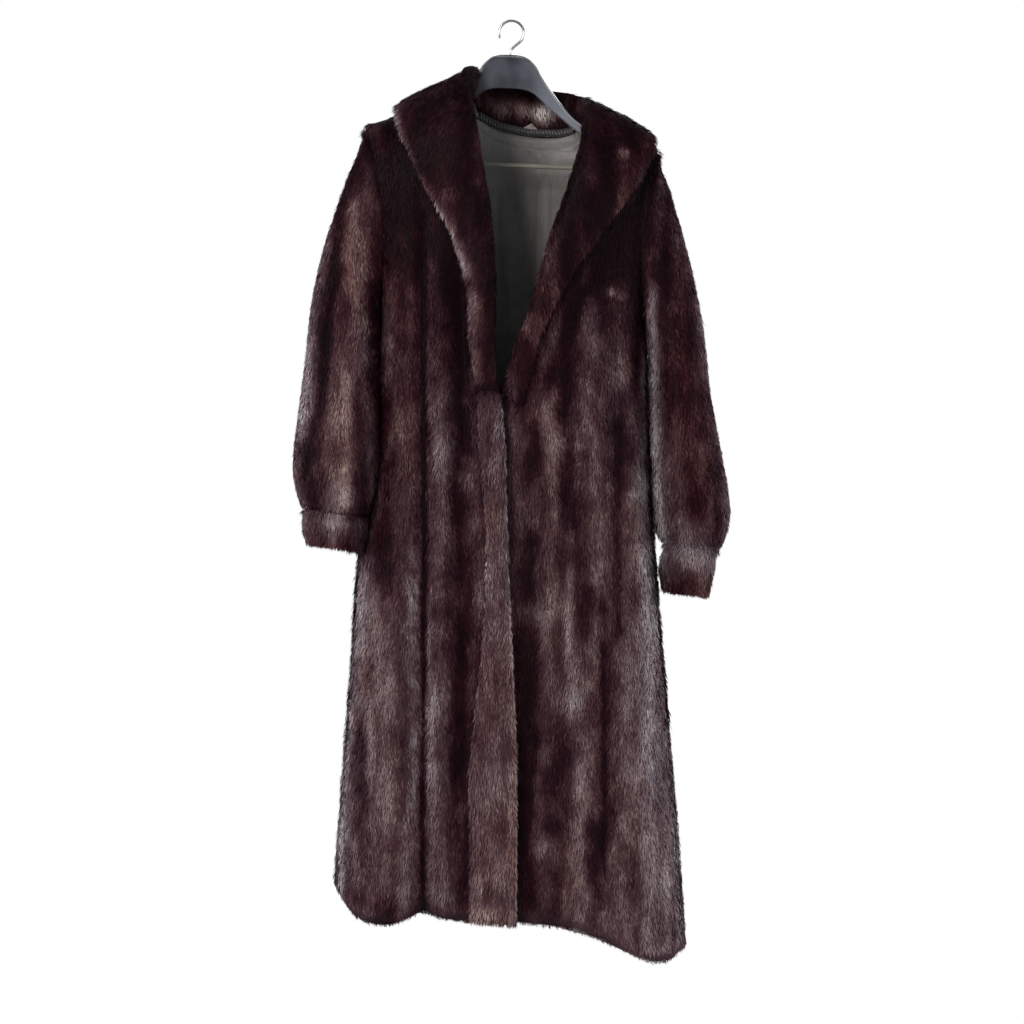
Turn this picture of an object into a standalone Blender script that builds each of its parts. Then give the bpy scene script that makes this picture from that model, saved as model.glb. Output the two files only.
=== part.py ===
"""A full-length fur coat with a wide shawl collar, hung on a contoured plastic hanger.

Metres, +Z up. The coat faces -Y, its wearer's right side is towards -X, and the origin is
where a rail carries the hook. Cloth is worked out as it would hang from a level hanger and
is then let down towards the wearer's left, because it has slipped along the hanger.
"""
import math
from typing import NamedTuple

import bmesh
import bpy
from mathutils import Matrix, Vector
from mathutils.bvhtree import BVHTree

COLLECTION = "fur_coat_on_hanger"

# ---------------------------------------------------------------- driving sizes
GAP = 0.0003            # between pieces that touch
PELT = 0.011            # wall of skin and pile on fronts and back
SLEEVE_PELT = 0.010
SEAM_CLEAR = 0.0012     # between armhole and sleeve, measured along X
CUFF_PELT = 0.012
LINING = 0.0012
LINING_CLEAR = 0.0006
OVERHANG = 0.0125       # the collar and band reach past the front's edge
LAP_STEP = PELT + 0.0022    # the left front lies this much deeper under the right front

# The body and its panels
ROUNDING = 2.6          # of the body's sides, in plan: 2 is an ellipse, more is squarer
SHOULDER_DEPTH = 0.115   # height over which the shoulders round off
UNDERARM_Z = -0.42
SHOULDER_X = 0.215
HEM_Z = -1.345
MIDWAY_Z = -0.3         # where the search for a panel point's height starts
HEIGHT_ROUNDS = 12      # steps of that search
PANEL_ROWS = 17         # below the underarm
ARMHOLE_ROWS = 10       # above it
RIGHT_COLUMNS = (4, 5, 6)   # of the right front, between its guide lines
LEFT_COLUMNS = (6, 5, 4)
BACK_COLUMNS = (5, 1, 5, 4, 1, 4)

# The cloth's fall towards the wearer's left, as a slope that grows towards the hem
FALL_SLOPE = 0.078
FALL_GROWTH = 0.055
FALL_TOP_Z = -0.2
FALL_HEIGHT = 0.5

# How the folds fade out: over these heights at their ends, and at the sides and shoulders
FOLD_TOP_FADE = 0.16
FOLD_FOOT_FADE = 0.12
FOLD_FOOT_SHARE = 0.25  # of the fold's height, still there at its foot
FOLD_SIDE_SHARE = 1.6
FOLD_SHOULDER_SHARE = 1.4

# The left front sinks under the right front over these widths and below this height
LAP_WIDTH = 0.040
LAP_RAMP = 0.038
LAP_TOP_Z = -0.455
LAP_TOP_RAMP = 0.06

# The back's hem: its own height, a gentle wave, and corners that rise to the side seams
BACK_HEM_RISE = 0.008
BACK_HEM_WAVE = 0.006
BACK_HEM_WAVE_WIDTH = 0.045
BACK_HEM_CORNER = 0.205
BACK_HEM_CORNER_SHARE = 0.6

# The wall's direction where a panel or a sleeve meets its seam
SEAM_TOUCH = 0.003      # a top row closer than this to the shoulder line is the shoulder's seam
SEAM_STEP = 0.01        # to both sides, for the shoulder's slope
ARMHOLE_OUT = 0.55      # shares of the wall's direction along the armhole
ARMHOLE_FORWARD = 14.0
ARMHOLE_UP = 0.15
ARMHOLE_TOP_UP = 0.6
UNDERARM_SHARE = 0.4    # of the half armhole, where a sleeve's wall turns round the underarm

# Sleeves and cuffs
SLEEVE_ROWS = 17
CAP_ROWS = 8            # of them, between armhole and upper arm
CAP_CURVE = 1.6         # how fast the sleeve's head swings out
CUFF_ROWS = 5
FOLD_WIDTH = 13.0       # degrees round the sleeve
FOLD_TOP_Z = -0.30
FOLD_TOP_RAMP = 0.14
FOLD_FOOT_Z = -0.75
FOLD_FOOT_RAMP = 0.06
RIGHT_FOLD = 0.016      # depth of the lengthwise fold
LEFT_FOLD = 0.005
BODY_CLEAR = 0.0014     # between a hanging sleeve and the body

# Collar and border
COLLAR_STATIONS = 30
BAND_STATIONS = 21
NOSE = 0.55             # of half the thickness, from the roll's edge to the wall's middle
WRAP_START = 0.006      # of a roll beyond the front's edge, from which its seam turns under
WRAP_RAMP = 0.005
WRAP_DEPTH = PELT + 0.003
WRAP_BACK = -0.03       # in front of this depth the collar wraps the front's edge
WRAP_STEPS = 2          # lines of the collar that lie in that wrap
SEAM_IN = 0.3           # of half the thickness, from the roll to the seam behind it
SEAM_DROP = 0.004       # of the seam under a roll that is free of the front
PUFF_LIFT = 0.3         # of the puff, upwards
STAND_EDGE = 0.0036     # half the stand's thickness along its lower edge
STAND_LIFT = 0.0045     # of the stand's lower edge, above the back's neckline
STAND_INSET = 0.006     # how far below that edge the neckline's depth is read
COLLAR_CLEAR = 0.0010
HANGER_CLEAR = 0.004
SHOULDER_EXTRA = 0.0045     # more clearance where the flat faces of the collar bridge the shoulder
SHOULDER_REACH = 0.05
BACK_SEAM_X = 0.027

# Settling a piece on what it lies on
PROBE = Vector((0.36, 0.48, 0.80))
SETTLE_CLEAR = 0.0007   # between a settled piece and what it lies on
SETTLE_ROUNDS = 20
SETTLE_STEPS = 4
SETTLE_REACH = 0.012
SETTLE_SAMPLES = [
    (i / SETTLE_STEPS, j / SETTLE_STEPS, 1.0 - (i + j) / SETTLE_STEPS)
    for i in range(SETTLE_STEPS + 1)
    for j in range(SETTLE_STEPS + 1 - i)
]
EDGE_SHARES = (0.25, 0.5, 0.75)     # points of an edge that are kept clear as well
NEGLIGIBLE = 1e-9
PAST_A_FACE = 1e-6

# Neck cord and tab
CORD = 0.0038           # radius of the neck cord
CORD_BEHIND = 0.0005    # gap between cord and stand
CORD_LIFT = 0.001
STAND_SECTIONS = 5      # lines of each collar half that the cord covers
TAB_HALF_WIDTH = 0.0115
TAB_HEIGHT = 0.009
TAB_THICKNESS = 0.0012
TAB_POINT_X = 0.001
TAB_CLEAR = 0.0002
TAB_FROM, TAB_TO = 3, 5     # points of the cord's route that the tab spans

# Hanger
WIRE = 0.0019           # radius of the hook's wire
BAR = 0.0035            # radius of the trouser bar
HANGER_TILT = 0.048     # radians, down towards the wearer's left
CROWN_TOP_Z = -0.047
HANGER_STEPS = 16       # sections along each arm
ARM_ROUND = 0.6         # of an arm's height, at most, that its rounded top takes
ARM_ROUND_STEPS = 6
LIP = 0.72              # of an arm's half width, from its middle to its channel's wall
BAR_REACH = 0.180
BAR_DROP = 0.163        # of the trouser bar below the crown's top
BAR_END_CLEAR = 0.0022
BAR_BEND = 0.010
BAR_BEND_STEPS = 4
HOOK_BEND = 0.018
HOOK_NECK = (Vector((0.0, 0.0, GAP)), Vector((0.0, 0.0, 0.005)), Vector((0.0045, 0.0, 0.0105)))
HOOK_FROM, HOOK_TO, HOOK_STEP = -50, 210, 13    # degrees round the bend

TUBE_RESOLUTION = 2     # of wires and cords: eight sides
PANEL_CREASE = 60       # degrees between faces from which an edge of cloth is sharp
HANGER_CREASE = 50


# ---------------------------------------------------------------- tables
class Girth(NamedTuple):
    """Outer size of the body at one height, from the hanger's middle plane."""
    z: float
    right: float
    left: float
    front: float
    back: float


class Line(NamedTuple):
    """One point of a guide line that runs down a panel."""
    z: float
    x: float


class Fold(NamedTuple):
    """A soft roll (rise above 0) or trough (below 0) that runs down a panel."""
    top_z: float
    foot_z: float
    top_x: float
    foot_x: float
    reach: float
    rise: float


class SleeveSection(NamedTuple):
    """A level section of a sleeve: distances from the middle plane, all along X but the last two."""
    z: float
    outer: float
    inner: float
    front: float
    back: float


class CollarSection(NamedTuple):
    """A section of one collar half, from the front's edge round to the centre back seam.

    The roll is the edge that shows round the neck. With no roll_y it lies on the front panel.
    The face says what the outer edge lies on: -1 the front, 0 the shoulder, 1 the back.
    """
    roll_x: float
    roll_y: float
    roll_z: float
    edge_x: float
    edge_z: float
    puff: float
    thick: float
    face: int


class CollarStep(NamedTuple):
    """A line along the collar: its place from seam (0) over roll and fall to edge (3)."""
    place: float
    thickness: float        # as a share of the section's


class Level(NamedTuple):
    """The hem's or the shoulder's height at one place across the coat."""
    x: float
    z: float


class ArmSection(NamedTuple):
    """A section of the hanger's body, below its crown's top."""
    x: float
    top: float
    foot: float
    half: float
    hollow: float


GIRTHS = (
    Girth(-0.16, 0.246, 0.246, 0.082, 0.066),
    Girth(-0.25, 0.226, 0.226, 0.085, 0.068),
    Girth(-0.33, 0.209, 0.209, 0.088, 0.068),
    Girth(-0.42, 0.199, 0.199, 0.090, 0.068),
    Girth(-0.55, 0.202, 0.203, 0.092, 0.068),
    Girth(-0.68, 0.208, 0.207, 0.094, 0.070),
    Girth(-0.82, 0.230, 0.218, 0.096, 0.072),
    Girth(-0.98, 0.240, 0.232, 0.099, 0.075),
    Girth(-1.16, 0.255, 0.248, 0.103, 0.079),
    Girth(-1.36, 0.268, 0.262, 0.106, 0.082),
)

SHOULDER = (
    Level(0.000, -0.062),
    Level(0.070, -0.084),
    Level(0.100, -0.116),
    Level(0.150, -0.139),
    Level(0.205, -0.162),
    Level(0.230, -0.174),
)

BACK_NECK = (
    Level(-0.0725, -0.0858),
    Level(-0.0675, -0.114),
    Level(-0.052, -0.138),
    Level(-0.030, -0.152),
    Level(0.025, -0.162),
    Level(0.082, -0.158),
    Level(0.101, -0.148),
    Level(0.110, -0.138),
    Level(0.1155, -0.1245),
)

HEM = (
    Level(-0.268, 0.050),
    Level(-0.253, 0.015),
    Level(-0.219, -0.003),
    Level(-0.180, -0.001),
    Level(-0.149, 0.012),
    Level(-0.131, 0.028),
    Level(-0.112, 0.021),
    Level(-0.056, 0.021),
    Level(-0.010, 0.027),
    Level(0.034, 0.029),
    Level(0.088, 0.031),
    Level(0.112, 0.024),
    Level(0.152, 0.010),
    Level(0.197, -0.004),
    Level(0.228, -0.008),
    Level(0.253, 0.007),
    Level(0.265, 0.034),
)

RIGHT_EDGE = (
    Line(-0.084, -0.0725),
    Line(-0.140, -0.0665),
    Line(-0.240, -0.0495),
    Line(-0.330, -0.0385),
    Line(-0.450, -0.0355),
    Line(-0.550, -0.0295),
    Line(-0.610, -0.0205),
    Line(-0.760, -0.0165),
    Line(-0.950, -0.0085),
    Line(-1.360, -0.0045),
)

LEFT_EDGE = (
    Line(-0.126, 0.1155),
    Line(-0.160, 0.1175),
    Line(-0.210, 0.1015),
    Line(-0.266, 0.0825),
    Line(-0.316, 0.0635),
    Line(-0.387, 0.0465),
    Line(-0.456, 0.0245),
    Line(-0.519, -0.0035),
    Line(-0.556, -0.0235),
    Line(-0.600, -0.0355),
    Line(-0.760, -0.0375),
    Line(-1.360, -0.0335),
)

# Creases that the panels' columns follow, from the edge outwards.
RIGHT_TROUGH = (Line(-0.084, -0.100), Line(-0.300, -0.078), Line(-0.550, -0.070), Line(-1.360, -0.074))
RIGHT_CREASE = (Line(-0.084, -0.150), Line(-0.300, -0.131), Line(-0.550, -0.131), Line(-1.360, -0.128))
LEFT_TROUGH = (Line(-0.126, 0.150), Line(-0.300, 0.110), Line(-0.560, 0.050), Line(-1.360, 0.052))
LEFT_CREASE = (Line(-0.126, 0.185), Line(-0.300, 0.163), Line(-0.560, 0.150), Line(-1.360, 0.130))

ARMHOLE = (
    Line(-0.155, 0.215),
    Line(-0.200, 0.206),
    Line(-0.260, 0.194),
    Line(-0.330, 0.187),
    Line(-0.385, 0.188),
    Line(-0.408, 0.193),
    Line(-0.420, 0.199),
)

FRONT_FOLDS = (
    Fold(-0.22, -1.40, -0.131, -0.128, 0.0075, -0.013),
    Fold(-0.30, -1.40, -0.104, -0.101, 0.018, 0.008),
    Fold(-0.24, -1.20, -0.074, -0.063, 0.016, -0.012),
    Fold(-0.30, -1.40, -0.165, -0.180, 0.026, 0.007),
    Fold(-0.50, -1.40, 0.070, 0.046, 0.018, -0.006),
    Fold(-0.34, -1.40, 0.092, 0.086, 0.016, 0.006),
    Fold(-0.60, -1.40, 0.116, 0.106, 0.010, -0.006),
    Fold(-0.40, -1.40, 0.158, 0.129, 0.009, -0.010),
    Fold(-0.58, -1.40, 0.185, 0.190, 0.028, 0.008),
    Fold(-0.30, -0.90, 0.128, 0.118, 0.015, 0.005),
)

BACK_FOLDS = (
    Fold(-0.40, -1.40, -0.150, -0.175, 0.016, -0.009),
    Fold(-0.55, -1.40, -0.080, -0.090, 0.014, -0.008),
    Fold(-0.36, -1.40, 0.020, 0.015, 0.016, -0.010),
    Fold(-0.50, -1.40, 0.095, 0.110, 0.015, -0.009),
    Fold(-0.45, -1.40, 0.158, 0.185, 0.014, -0.008),
    Fold(-0.45, -1.40, -0.030, -0.035, 0.022, 0.006),
    Fold(-0.45, -1.40, 0.055, 0.062, 0.022, 0.006),
)

RIGHT_SLEEVE = (
    SleeveSection(-0.430, 0.292, 0.202, 0.068, 0.058),
    SleeveSection(-0.500, 0.302, 0.194, 0.078, 0.056),
    SleeveSection(-0.580, 0.311, 0.189, 0.092, 0.052),
    SleeveSection(-0.650, 0.320, 0.188, 0.101, 0.048),
    SleeveSection(-0.695, 0.324, 0.192, 0.103, 0.040),
    SleeveSection(-0.728, 0.320, 0.200, 0.098, 0.026),
    SleeveSection(-0.753, 0.311, 0.211, 0.088, 0.010),
)

LEFT_SLEEVE = (
    SleeveSection(-0.430, 0.277, 0.203, 0.062, 0.060),
    SleeveSection(-0.500, 0.291, 0.205, 0.066, 0.062),
    SleeveSection(-0.570, 0.305, 0.206, 0.070, 0.062),
    SleeveSection(-0.630, 0.317, 0.208, 0.074, 0.058),
    SleeveSection(-0.672, 0.323, 0.209, 0.075, 0.052),
    SleeveSection(-0.705, 0.320, 0.211, 0.070, 0.042),
    SleeveSection(-0.734, 0.308, 0.218, 0.060, 0.028),
)

RIGHT_CUFF = (
    SleeveSection(-0.7535, 0.306, 0.216, 0.083, 0.004),
    SleeveSection(-0.772, 0.309, 0.214, 0.086, 0.006),
    SleeveSection(-0.790, 0.308, 0.216, 0.086, 0.005),
    SleeveSection(-0.808, 0.303, 0.221, 0.081, 0.000),
)

LEFT_CUFF = (
    SleeveSection(-0.7333, 0.301, 0.222, 0.056, 0.024),
    SleeveSection(-0.755, 0.301, 0.219, 0.058, 0.026),
    SleeveSection(-0.780, 0.297, 0.219, 0.058, 0.026),
    SleeveSection(-0.808, 0.290, 0.223, 0.054, 0.022),
)

RIGHT_COLLAR = (
    CollarSection(-0.0175, None, -0.550, -0.050, -0.550, 0.000, 0.012, -1),
    CollarSection(-0.0240, None, -0.500, -0.058, -0.500, 0.003, 0.014, -1),
    CollarSection(-0.0225, None, -0.450, -0.062, -0.470, 0.004, 0.015, -1),
    CollarSection(-0.0220, None, -0.390, -0.062, -0.424, 0.004, 0.016, -1),
    CollarSection(-0.0250, None, -0.330, -0.067, -0.386, 0.004, 0.017, -1),
    CollarSection(-0.0290, None, -0.285, -0.078, -0.352, 0.004, 0.018, -1),
    CollarSection(-0.0365, None, -0.240, -0.093, -0.316, 0.005, 0.019, -1),
    CollarSection(-0.0440, None, -0.195, -0.110, -0.285, 0.006, 0.020, -1),
    CollarSection(-0.0500, None, -0.155, -0.130, -0.252, 0.006, 0.021, -1),
    CollarSection(-0.0540, None, -0.120, -0.148, -0.212, 0.006, 0.023, -1),
    CollarSection(-0.0560, -0.040, -0.096, -0.164, -0.180, 0.005, 0.025, -1),
    CollarSection(-0.0560, -0.002, -0.080, -0.172, -0.150, 0.004, 0.026, 0),
    CollarSection(-0.0530, 0.032, -0.082, -0.166, -0.176, 0.006, 0.024, 1),
    CollarSection(-0.0420, 0.050, -0.086, -0.138, -0.208, 0.008, 0.020, 1),
    CollarSection(-0.0150, 0.057, -0.090, -0.078, -0.236, 0.010, 0.018, 1),
    CollarSection(0.0270, 0.059, -0.092, 0.0270, -0.242, 0.010, 0.018, 1),
)

LEFT_COLLAR = (
    CollarSection(-0.0140, None, -0.556, 0.014, -0.562, 0.000, 0.007, -1),
    CollarSection(-0.0090, None, -0.520, 0.024, -0.524, 0.001, 0.010, -1),
    CollarSection(0.0040, None, -0.472, 0.038, -0.474, 0.002, 0.013, -1),
    CollarSection(0.0220, None, -0.428, 0.058, -0.425, 0.003, 0.015, -1),
    CollarSection(0.0336, None, -0.387, 0.080, -0.384, 0.004, 0.016, -1),
    CollarSection(0.0420, None, -0.353, 0.105, -0.345, 0.004, 0.017, -1),
    CollarSection(0.0540, None, -0.310, 0.130, -0.306, 0.005, 0.018, -1),
    CollarSection(0.0700, None, -0.266, 0.154, -0.270, 0.006, 0.019, -1),
    CollarSection(0.0870, None, -0.214, 0.180, -0.232, 0.006, 0.020, -1),
    CollarSection(0.1000, None, -0.165, 0.199, -0.196, 0.005, 0.022, -1),
    CollarSection(0.1050, -0.036, -0.128, 0.208, -0.176, 0.004, 0.024, -1),
    CollarSection(0.1040, -0.002, -0.110, 0.211, -0.164, 0.003, 0.024, 0),
    CollarSection(0.1020, 0.030, -0.104, 0.203, -0.186, 0.005, 0.022, 1),
    CollarSection(0.0930, 0.050, -0.096, 0.176, -0.214, 0.008, 0.020, 1),
    CollarSection(0.0690, 0.057, -0.092, 0.124, -0.236, 0.010, 0.018, 1),
    CollarSection(0.0270, 0.059, -0.092, 0.0270, -0.242, 0.010, 0.018, 1),
)

# The border's own sections, from under the right lapel's end down to the hem.
BAND = (
    CollarSection(-0.0175, None, -0.5511, -0.050, -0.5511, 0.000, 0.012, -1),
    CollarSection(-0.0095, None, -0.610, -0.049, -0.612, 0.002, 0.013, -1),
    CollarSection(-0.0060, None, -0.760, -0.038, -0.762, 0.003, 0.013, -1),
    CollarSection(0.0000, None, -0.905, -0.043, -0.908, 0.003, 0.013, -1),
    CollarSection(0.0045, None, -1.000, -0.053, -1.004, 0.004, 0.014, -1),
    CollarSection(0.0070, None, -1.110, -0.061, -1.114, 0.004, 0.014, -1),
    CollarSection(0.0070, None, -1.220, -0.061, -1.222, 0.004, 0.014, -1),
    CollarSection(0.0070, None, -1.322, -0.061, -1.324, 0.001, 0.013, -1),
)

COLLAR_STEPS = (
    CollarStep(0.0, 0.40),
    CollarStep(0.5, 0.50),
    CollarStep(1.0, 0.85),
    CollarStep(1.3, 1.00),
    CollarStep(1.65, 1.00),
    CollarStep(2.0, 1.00),
    CollarStep(2.35, 1.00),
    CollarStep(2.7, 0.90),
    CollarStep(3.0, 0.45),
)

# Turns round a sleeve's section, from the underarm over the front to its outside; the
# closer ones follow the lengthwise fold.
SLEEVE_TURNS = (0, 20, 40, 60, 80, 98, 112, 126, 142, 160, 180)
FOLD_TURN = 112
SLEEVE_SQUARENESS = 2.25

HANGER = (
    ArmSection(0.000, 0.000, -0.051, 0.009, 0.000),
    ArmSection(0.018, -0.001, -0.051, 0.009, 0.000),
    ArmSection(0.029, -0.004, -0.053, 0.009, 0.000),
    ArmSection(0.040, -0.017, -0.058, 0.010, 0.000),
    ArmSection(0.053, -0.038, -0.070, 0.011, 0.002),
    ArmSection(0.073, -0.063, -0.086, 0.013, 0.004),
    ArmSection(0.101, -0.092, -0.107, 0.016, 0.005),
    ArmSection(0.140, -0.112, -0.126, 0.019, 0.006),
    ArmSection(0.178, -0.126, -0.139, 0.019, 0.006),
    ArmSection(0.192, -0.133, -0.143, 0.015, 0.004),
)


# ---------------------------------------------------------------- working out
def ease(share):
    """Smooth step from 0 to 1."""
    share = min(max(share, 0.0), 1.0)
    return share * share * (3.0 - 2.0 * share)


def mix(start, end, share):
    """The value at a share of the way from start to end."""
    return start + (end - start) * share


def along(rows, at):
    """The row of a table at any place along its first column, by smooth interpolation."""
    ordered = sorted(rows)
    at = min(max(at, ordered[0][0]), ordered[-1][0])
    index = max(i for i in range(len(ordered) - 1) if ordered[i][0] <= at)
    low, high = ordered[index], ordered[index + 1]
    before = ordered[max(index - 1, 0)]
    after = ordered[min(index + 2, len(ordered) - 1)]
    span = high[0] - low[0]
    t = (at - low[0]) / span
    values = []
    for b, a, c, d in zip(before, low, high, after):
        leave = (c - b) * span / (high[0] - before[0])
        arrive = (d - a) * span / (after[0] - low[0])
        values.append(
            (2 * t**3 - 3 * t**2 + 1) * a
            + (t**3 - 2 * t**2 + t) * leave
            + (3 * t**2 - 2 * t**3) * c
            + (t**3 - t**2) * arrive
        )
    return type(low)(*values)


def droop(point):
    """Lets a point of level cloth down towards the wearer's left, more so near the hem."""
    slope = FALL_SLOPE + FALL_GROWTH * ease((FALL_TOP_Z - point.z) / FALL_HEIGHT)
    return Vector((point.x, point.y, point.z - slope * point.x))


def shoulder_z(x):
    """Height of the shoulder seam at a distance from the middle."""
    return along(SHOULDER, abs(x)).z


def top_z(x, face):
    """Upper edge of a panel: the shoulder seam and, at the back, the neckline."""
    if face > 0 and BACK_NECK[0].x < x < BACK_NECK[-1].x:
        return along(BACK_NECK, x).z
    return shoulder_z(x)


def arm_top_z(x):
    """Top of the hanger's arm, seen from cloth that hasn't been let down yet."""
    return CROWN_TOP_Z + along(HANGER, abs(x)).top + (FALL_SLOPE - HANGER_TILT) * x


def relief(folds, x, z):
    """Height of the folds at a place on a panel."""
    rise = 0.0
    for fold in folds:
        share = (fold.top_z - z) / (fold.top_z - fold.foot_z)
        if share <= 0.0:
            continue
        centre = mix(fold.top_x, fold.foot_x, share)
        upper = ease((fold.top_z - z) / FOLD_TOP_FADE)
        lower = ease((z - fold.foot_z) / FOLD_FOOT_FADE + FOLD_FOOT_SHARE)
        rise += fold.rise * upper * lower * math.exp(-(((x - centre) / fold.reach) ** 2))
    return rise


def skin(x, z, face):
    """Distance of the coat's outside from the middle plane; face is -1 in front, 1 at the back."""
    girth = along(GIRTHS, z)
    half = girth.right if x < 0 else girth.left
    reach = girth.front if face < 0 else girth.back
    side = max(0.0, 1.0 - (abs(x) / half) ** ROUNDING) ** (1.0 / ROUNDING)
    below = min(max((shoulder_z(x) - z) / SHOULDER_DEPTH, 0.0), 1.0)
    over = math.sqrt(max(0.0, 1.0 - (1.0 - below) ** 2))
    folds = relief(FRONT_FOLDS if face < 0 else BACK_FOLDS, x, z)
    shown = min(1.0, FOLD_SIDE_SHARE * side) * ease(below * FOLD_SHOULDER_SHARE)
    return reach * side * over + folds * shown


def lap(x, z):
    """How far the left front sinks to pass under the right front."""
    cover = along(RIGHT_EDGE, z).x + OVERHANG
    across = ease((cover + LAP_WIDTH - x) / LAP_RAMP)
    return LAP_STEP * across * ease((LAP_TOP_Z - z) / LAP_TOP_RAMP)


# ---------------------------------------------------------------- making meshes
def material(name, colour, roughness, metallic=0.0):
    """A plain surface of one colour."""
    made = bpy.data.materials.new(name)
    made.use_nodes = True
    shader = made.node_tree.nodes["Principled BSDF"]
    shader.inputs["Base Color"].default_value = (*colour, 1.0)
    shader.inputs["Roughness"].default_value = roughness
    shader.inputs["Metallic"].default_value = metallic
    made.diffuse_color = (*colour, 1.0)
    return made


def place(name, mesh, surface):
    """Puts a mesh in the coat's collection as a named object."""
    mesh.materials.append(surface)
    made = bpy.data.objects.new(name, mesh)
    bpy.data.collections[COLLECTION].objects.link(made)
    return made


def normals_of(grid, closed):
    """The outward direction at each point of a grid of rows, from its neighbours."""
    rows, columns = len(grid), len(grid[0])
    found = []
    for j in range(rows):
        line = []
        for i in range(columns):
            left = (i - 1) % columns if closed else max(i - 1, 0)
            right = (i + 1) % columns if closed else min(i + 1, columns - 1)
            run = grid[j][right] - grid[j][left]
            rise = grid[min(j + 1, rows - 1)][i] - grid[max(j - 1, 0)][i]
            line.append(run.cross(rise).normalized())
        found.append(line)
    return found


def offset(grid, normals, depth):
    """The grid, moved inwards along its directions."""
    return [[p - n * depth for p, n in zip(row, ways)] for row, ways in zip(grid, normals)]


def wall(name, outer, inner, closed, surface):
    """A closed wall between an outer and an inner grid of rows that match point for point."""
    body = bmesh.new()
    skins = []
    for grid in (outer, inner):
        skins.append([[body.verts.new(point) for point in row] for row in grid])
    rows, columns = len(outer), len(outer[0])
    steps = columns if closed else columns - 1
    for front, flip in zip(skins, (False, True)):
        for j in range(rows - 1):
            for i in range(steps):
                k = (i + 1) % columns
                corners = [front[j][i], front[j][k], front[j + 1][k], front[j + 1][i]]
                if flip:
                    corners = [corners[0], corners[3], corners[2], corners[1]]
                body.faces.new(corners)
    out, into = skins
    for j, flip in ((0, True), (rows - 1, False)):
        for i in range(steps):
            k = (i + 1) % columns
            corners = [out[j][i], out[j][k], into[j][k], into[j][i]]
            body.faces.new(reversed(corners) if flip else corners)
    if not closed:
        for i in (0, columns - 1):
            for j in range(rows - 1):
                body.faces.new((out[j][i], out[j + 1][i], into[j + 1][i], into[j][i]))
    bmesh.ops.recalc_face_normals(body, faces=body.faces)
    bmesh.ops.triangulate(body, faces=body.faces, quad_method="BEAUTY")
    mesh = bpy.data.meshes.new(name)
    body.to_mesh(mesh)
    body.free()
    mesh.shade_smooth()
    mesh.set_sharp_from_angle(angle=math.radians(PANEL_CREASE))
    return place(name, mesh, surface)


def loft(name, rings, surface):
    """A closed solid through rings of the same number of points."""
    body = bmesh.new()
    lines = [[body.verts.new(point) for point in ring] for ring in rings]
    count = len(rings[0])
    for lower, upper in zip(lines, lines[1:]):
        for i in range(count):
            k = (i + 1) % count
            body.faces.new((lower[i], lower[k], upper[k], upper[i]))
    body.faces.new(reversed(lines[0]))
    body.faces.new(lines[-1])
    bmesh.ops.recalc_face_normals(body, faces=body.faces)
    mesh = bpy.data.meshes.new(name)
    body.to_mesh(mesh)
    body.free()
    mesh.shade_smooth()
    mesh.set_sharp_from_angle(angle=math.radians(HANGER_CREASE))
    return place(name, mesh, surface)


def tube(name, points, radius, surface):
    """A round wire along a smooth run of points, with filled ends."""
    shape = bpy.data.curves.new(name, "CURVE")
    shape.dimensions = "3D"
    shape.bevel_depth = radius
    shape.bevel_resolution = TUBE_RESOLUTION
    shape.use_fill_caps = True
    run = shape.splines.new("POLY")
    run.points.add(len(points) - 1)
    for target, point in zip(run.points, points):
        target.co = (*point, 1.0)
    shape.materials.append(surface)
    made = bpy.data.objects.new(name, shape)
    bpy.data.collections[COLLECTION].objects.link(made)
    return made


class Neighbour(NamedTuple):
    """A finished piece, ready to be measured against."""
    tree: BVHTree
    points: list


def neighbour(made, turn=Matrix()):
    """The faces of a piece, and points along its edges."""
    corners = [turn @ vertex.co for vertex in made.data.vertices]
    tree = BVHTree.FromPolygons(corners, [tuple(face.vertices) for face in made.data.polygons])
    points = list(corners)
    for edge in made.data.edges:
        start, end = (corners[i] for i in edge.vertices)
        points += [start.lerp(end, share) for share in EDGE_SHARES]
    return Neighbour(tree, points)


def encloses(tree, point):
    """Whether a point is inside a piece: a line from it then leaves through an odd number of faces."""
    crossings = 0
    start = point
    hit = tree.ray_cast(start, PROBE)[0]
    while hit is not None:
        crossings += 1
        start = hit + PROBE * PAST_A_FACE
        hit = tree.ray_cast(start, PROBE)[0]
    return crossings % 2 == 1


def shortfall(point, tree, clear):
    """The face of a piece nearest to a point, and the move that would bring the point clear of it."""
    hit, normal, face, reach = tree.find_nearest(point, SETTLE_REACH)
    if hit is None or reach < NEGLIGIBLE:
        return None, None
    outside = (point - hit).dot(normal) >= 0.0 or not encloses(tree, point)
    short = clear - reach if outside else clear + reach
    if short <= 0.0:
        return None, None
    way = (point - hit) / reach
    return face, way * short if outside else way * -short


def settle(made, neighbours):
    """Moves a piece's points a little at a time until it is clear of its neighbours."""
    points = [vertex.co.copy() for vertex in made.data.vertices]
    faces = [tuple(face.vertices) for face in made.data.polygons]
    for _ in range(SETTLE_ROUNDS):
        pushes = {}

        def push(corner, move):
            if move.length > pushes.get(corner, Vector()).length:
                pushes[corner] = move

        for face in faces:
            for shares in SETTLE_SAMPLES:
                sample = sum((points[i] * share for i, share in zip(face, shares)), Vector())
                strength = sum(share * share for share in shares)
                for other in neighbours:
                    _, move = shortfall(sample, other.tree, SETTLE_CLEAR)
                    if move is not None:
                        for i, share in zip(face, shares):
                            push(i, move * share / strength)
        own = BVHTree.FromPolygons(points, faces)
        for other in neighbours:
            for point in other.points:
                index, move = shortfall(point, own, SETTLE_CLEAR)
                if move is not None:
                    for i in faces[index]:
                        push(i, move * -1.0)
        if not pushes:
            break
        for i, move in pushes.items():
            points[i] += move
    for vertex, point in zip(made.data.vertices, points):
        vertex.co = point
    made.data.update()


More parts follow.
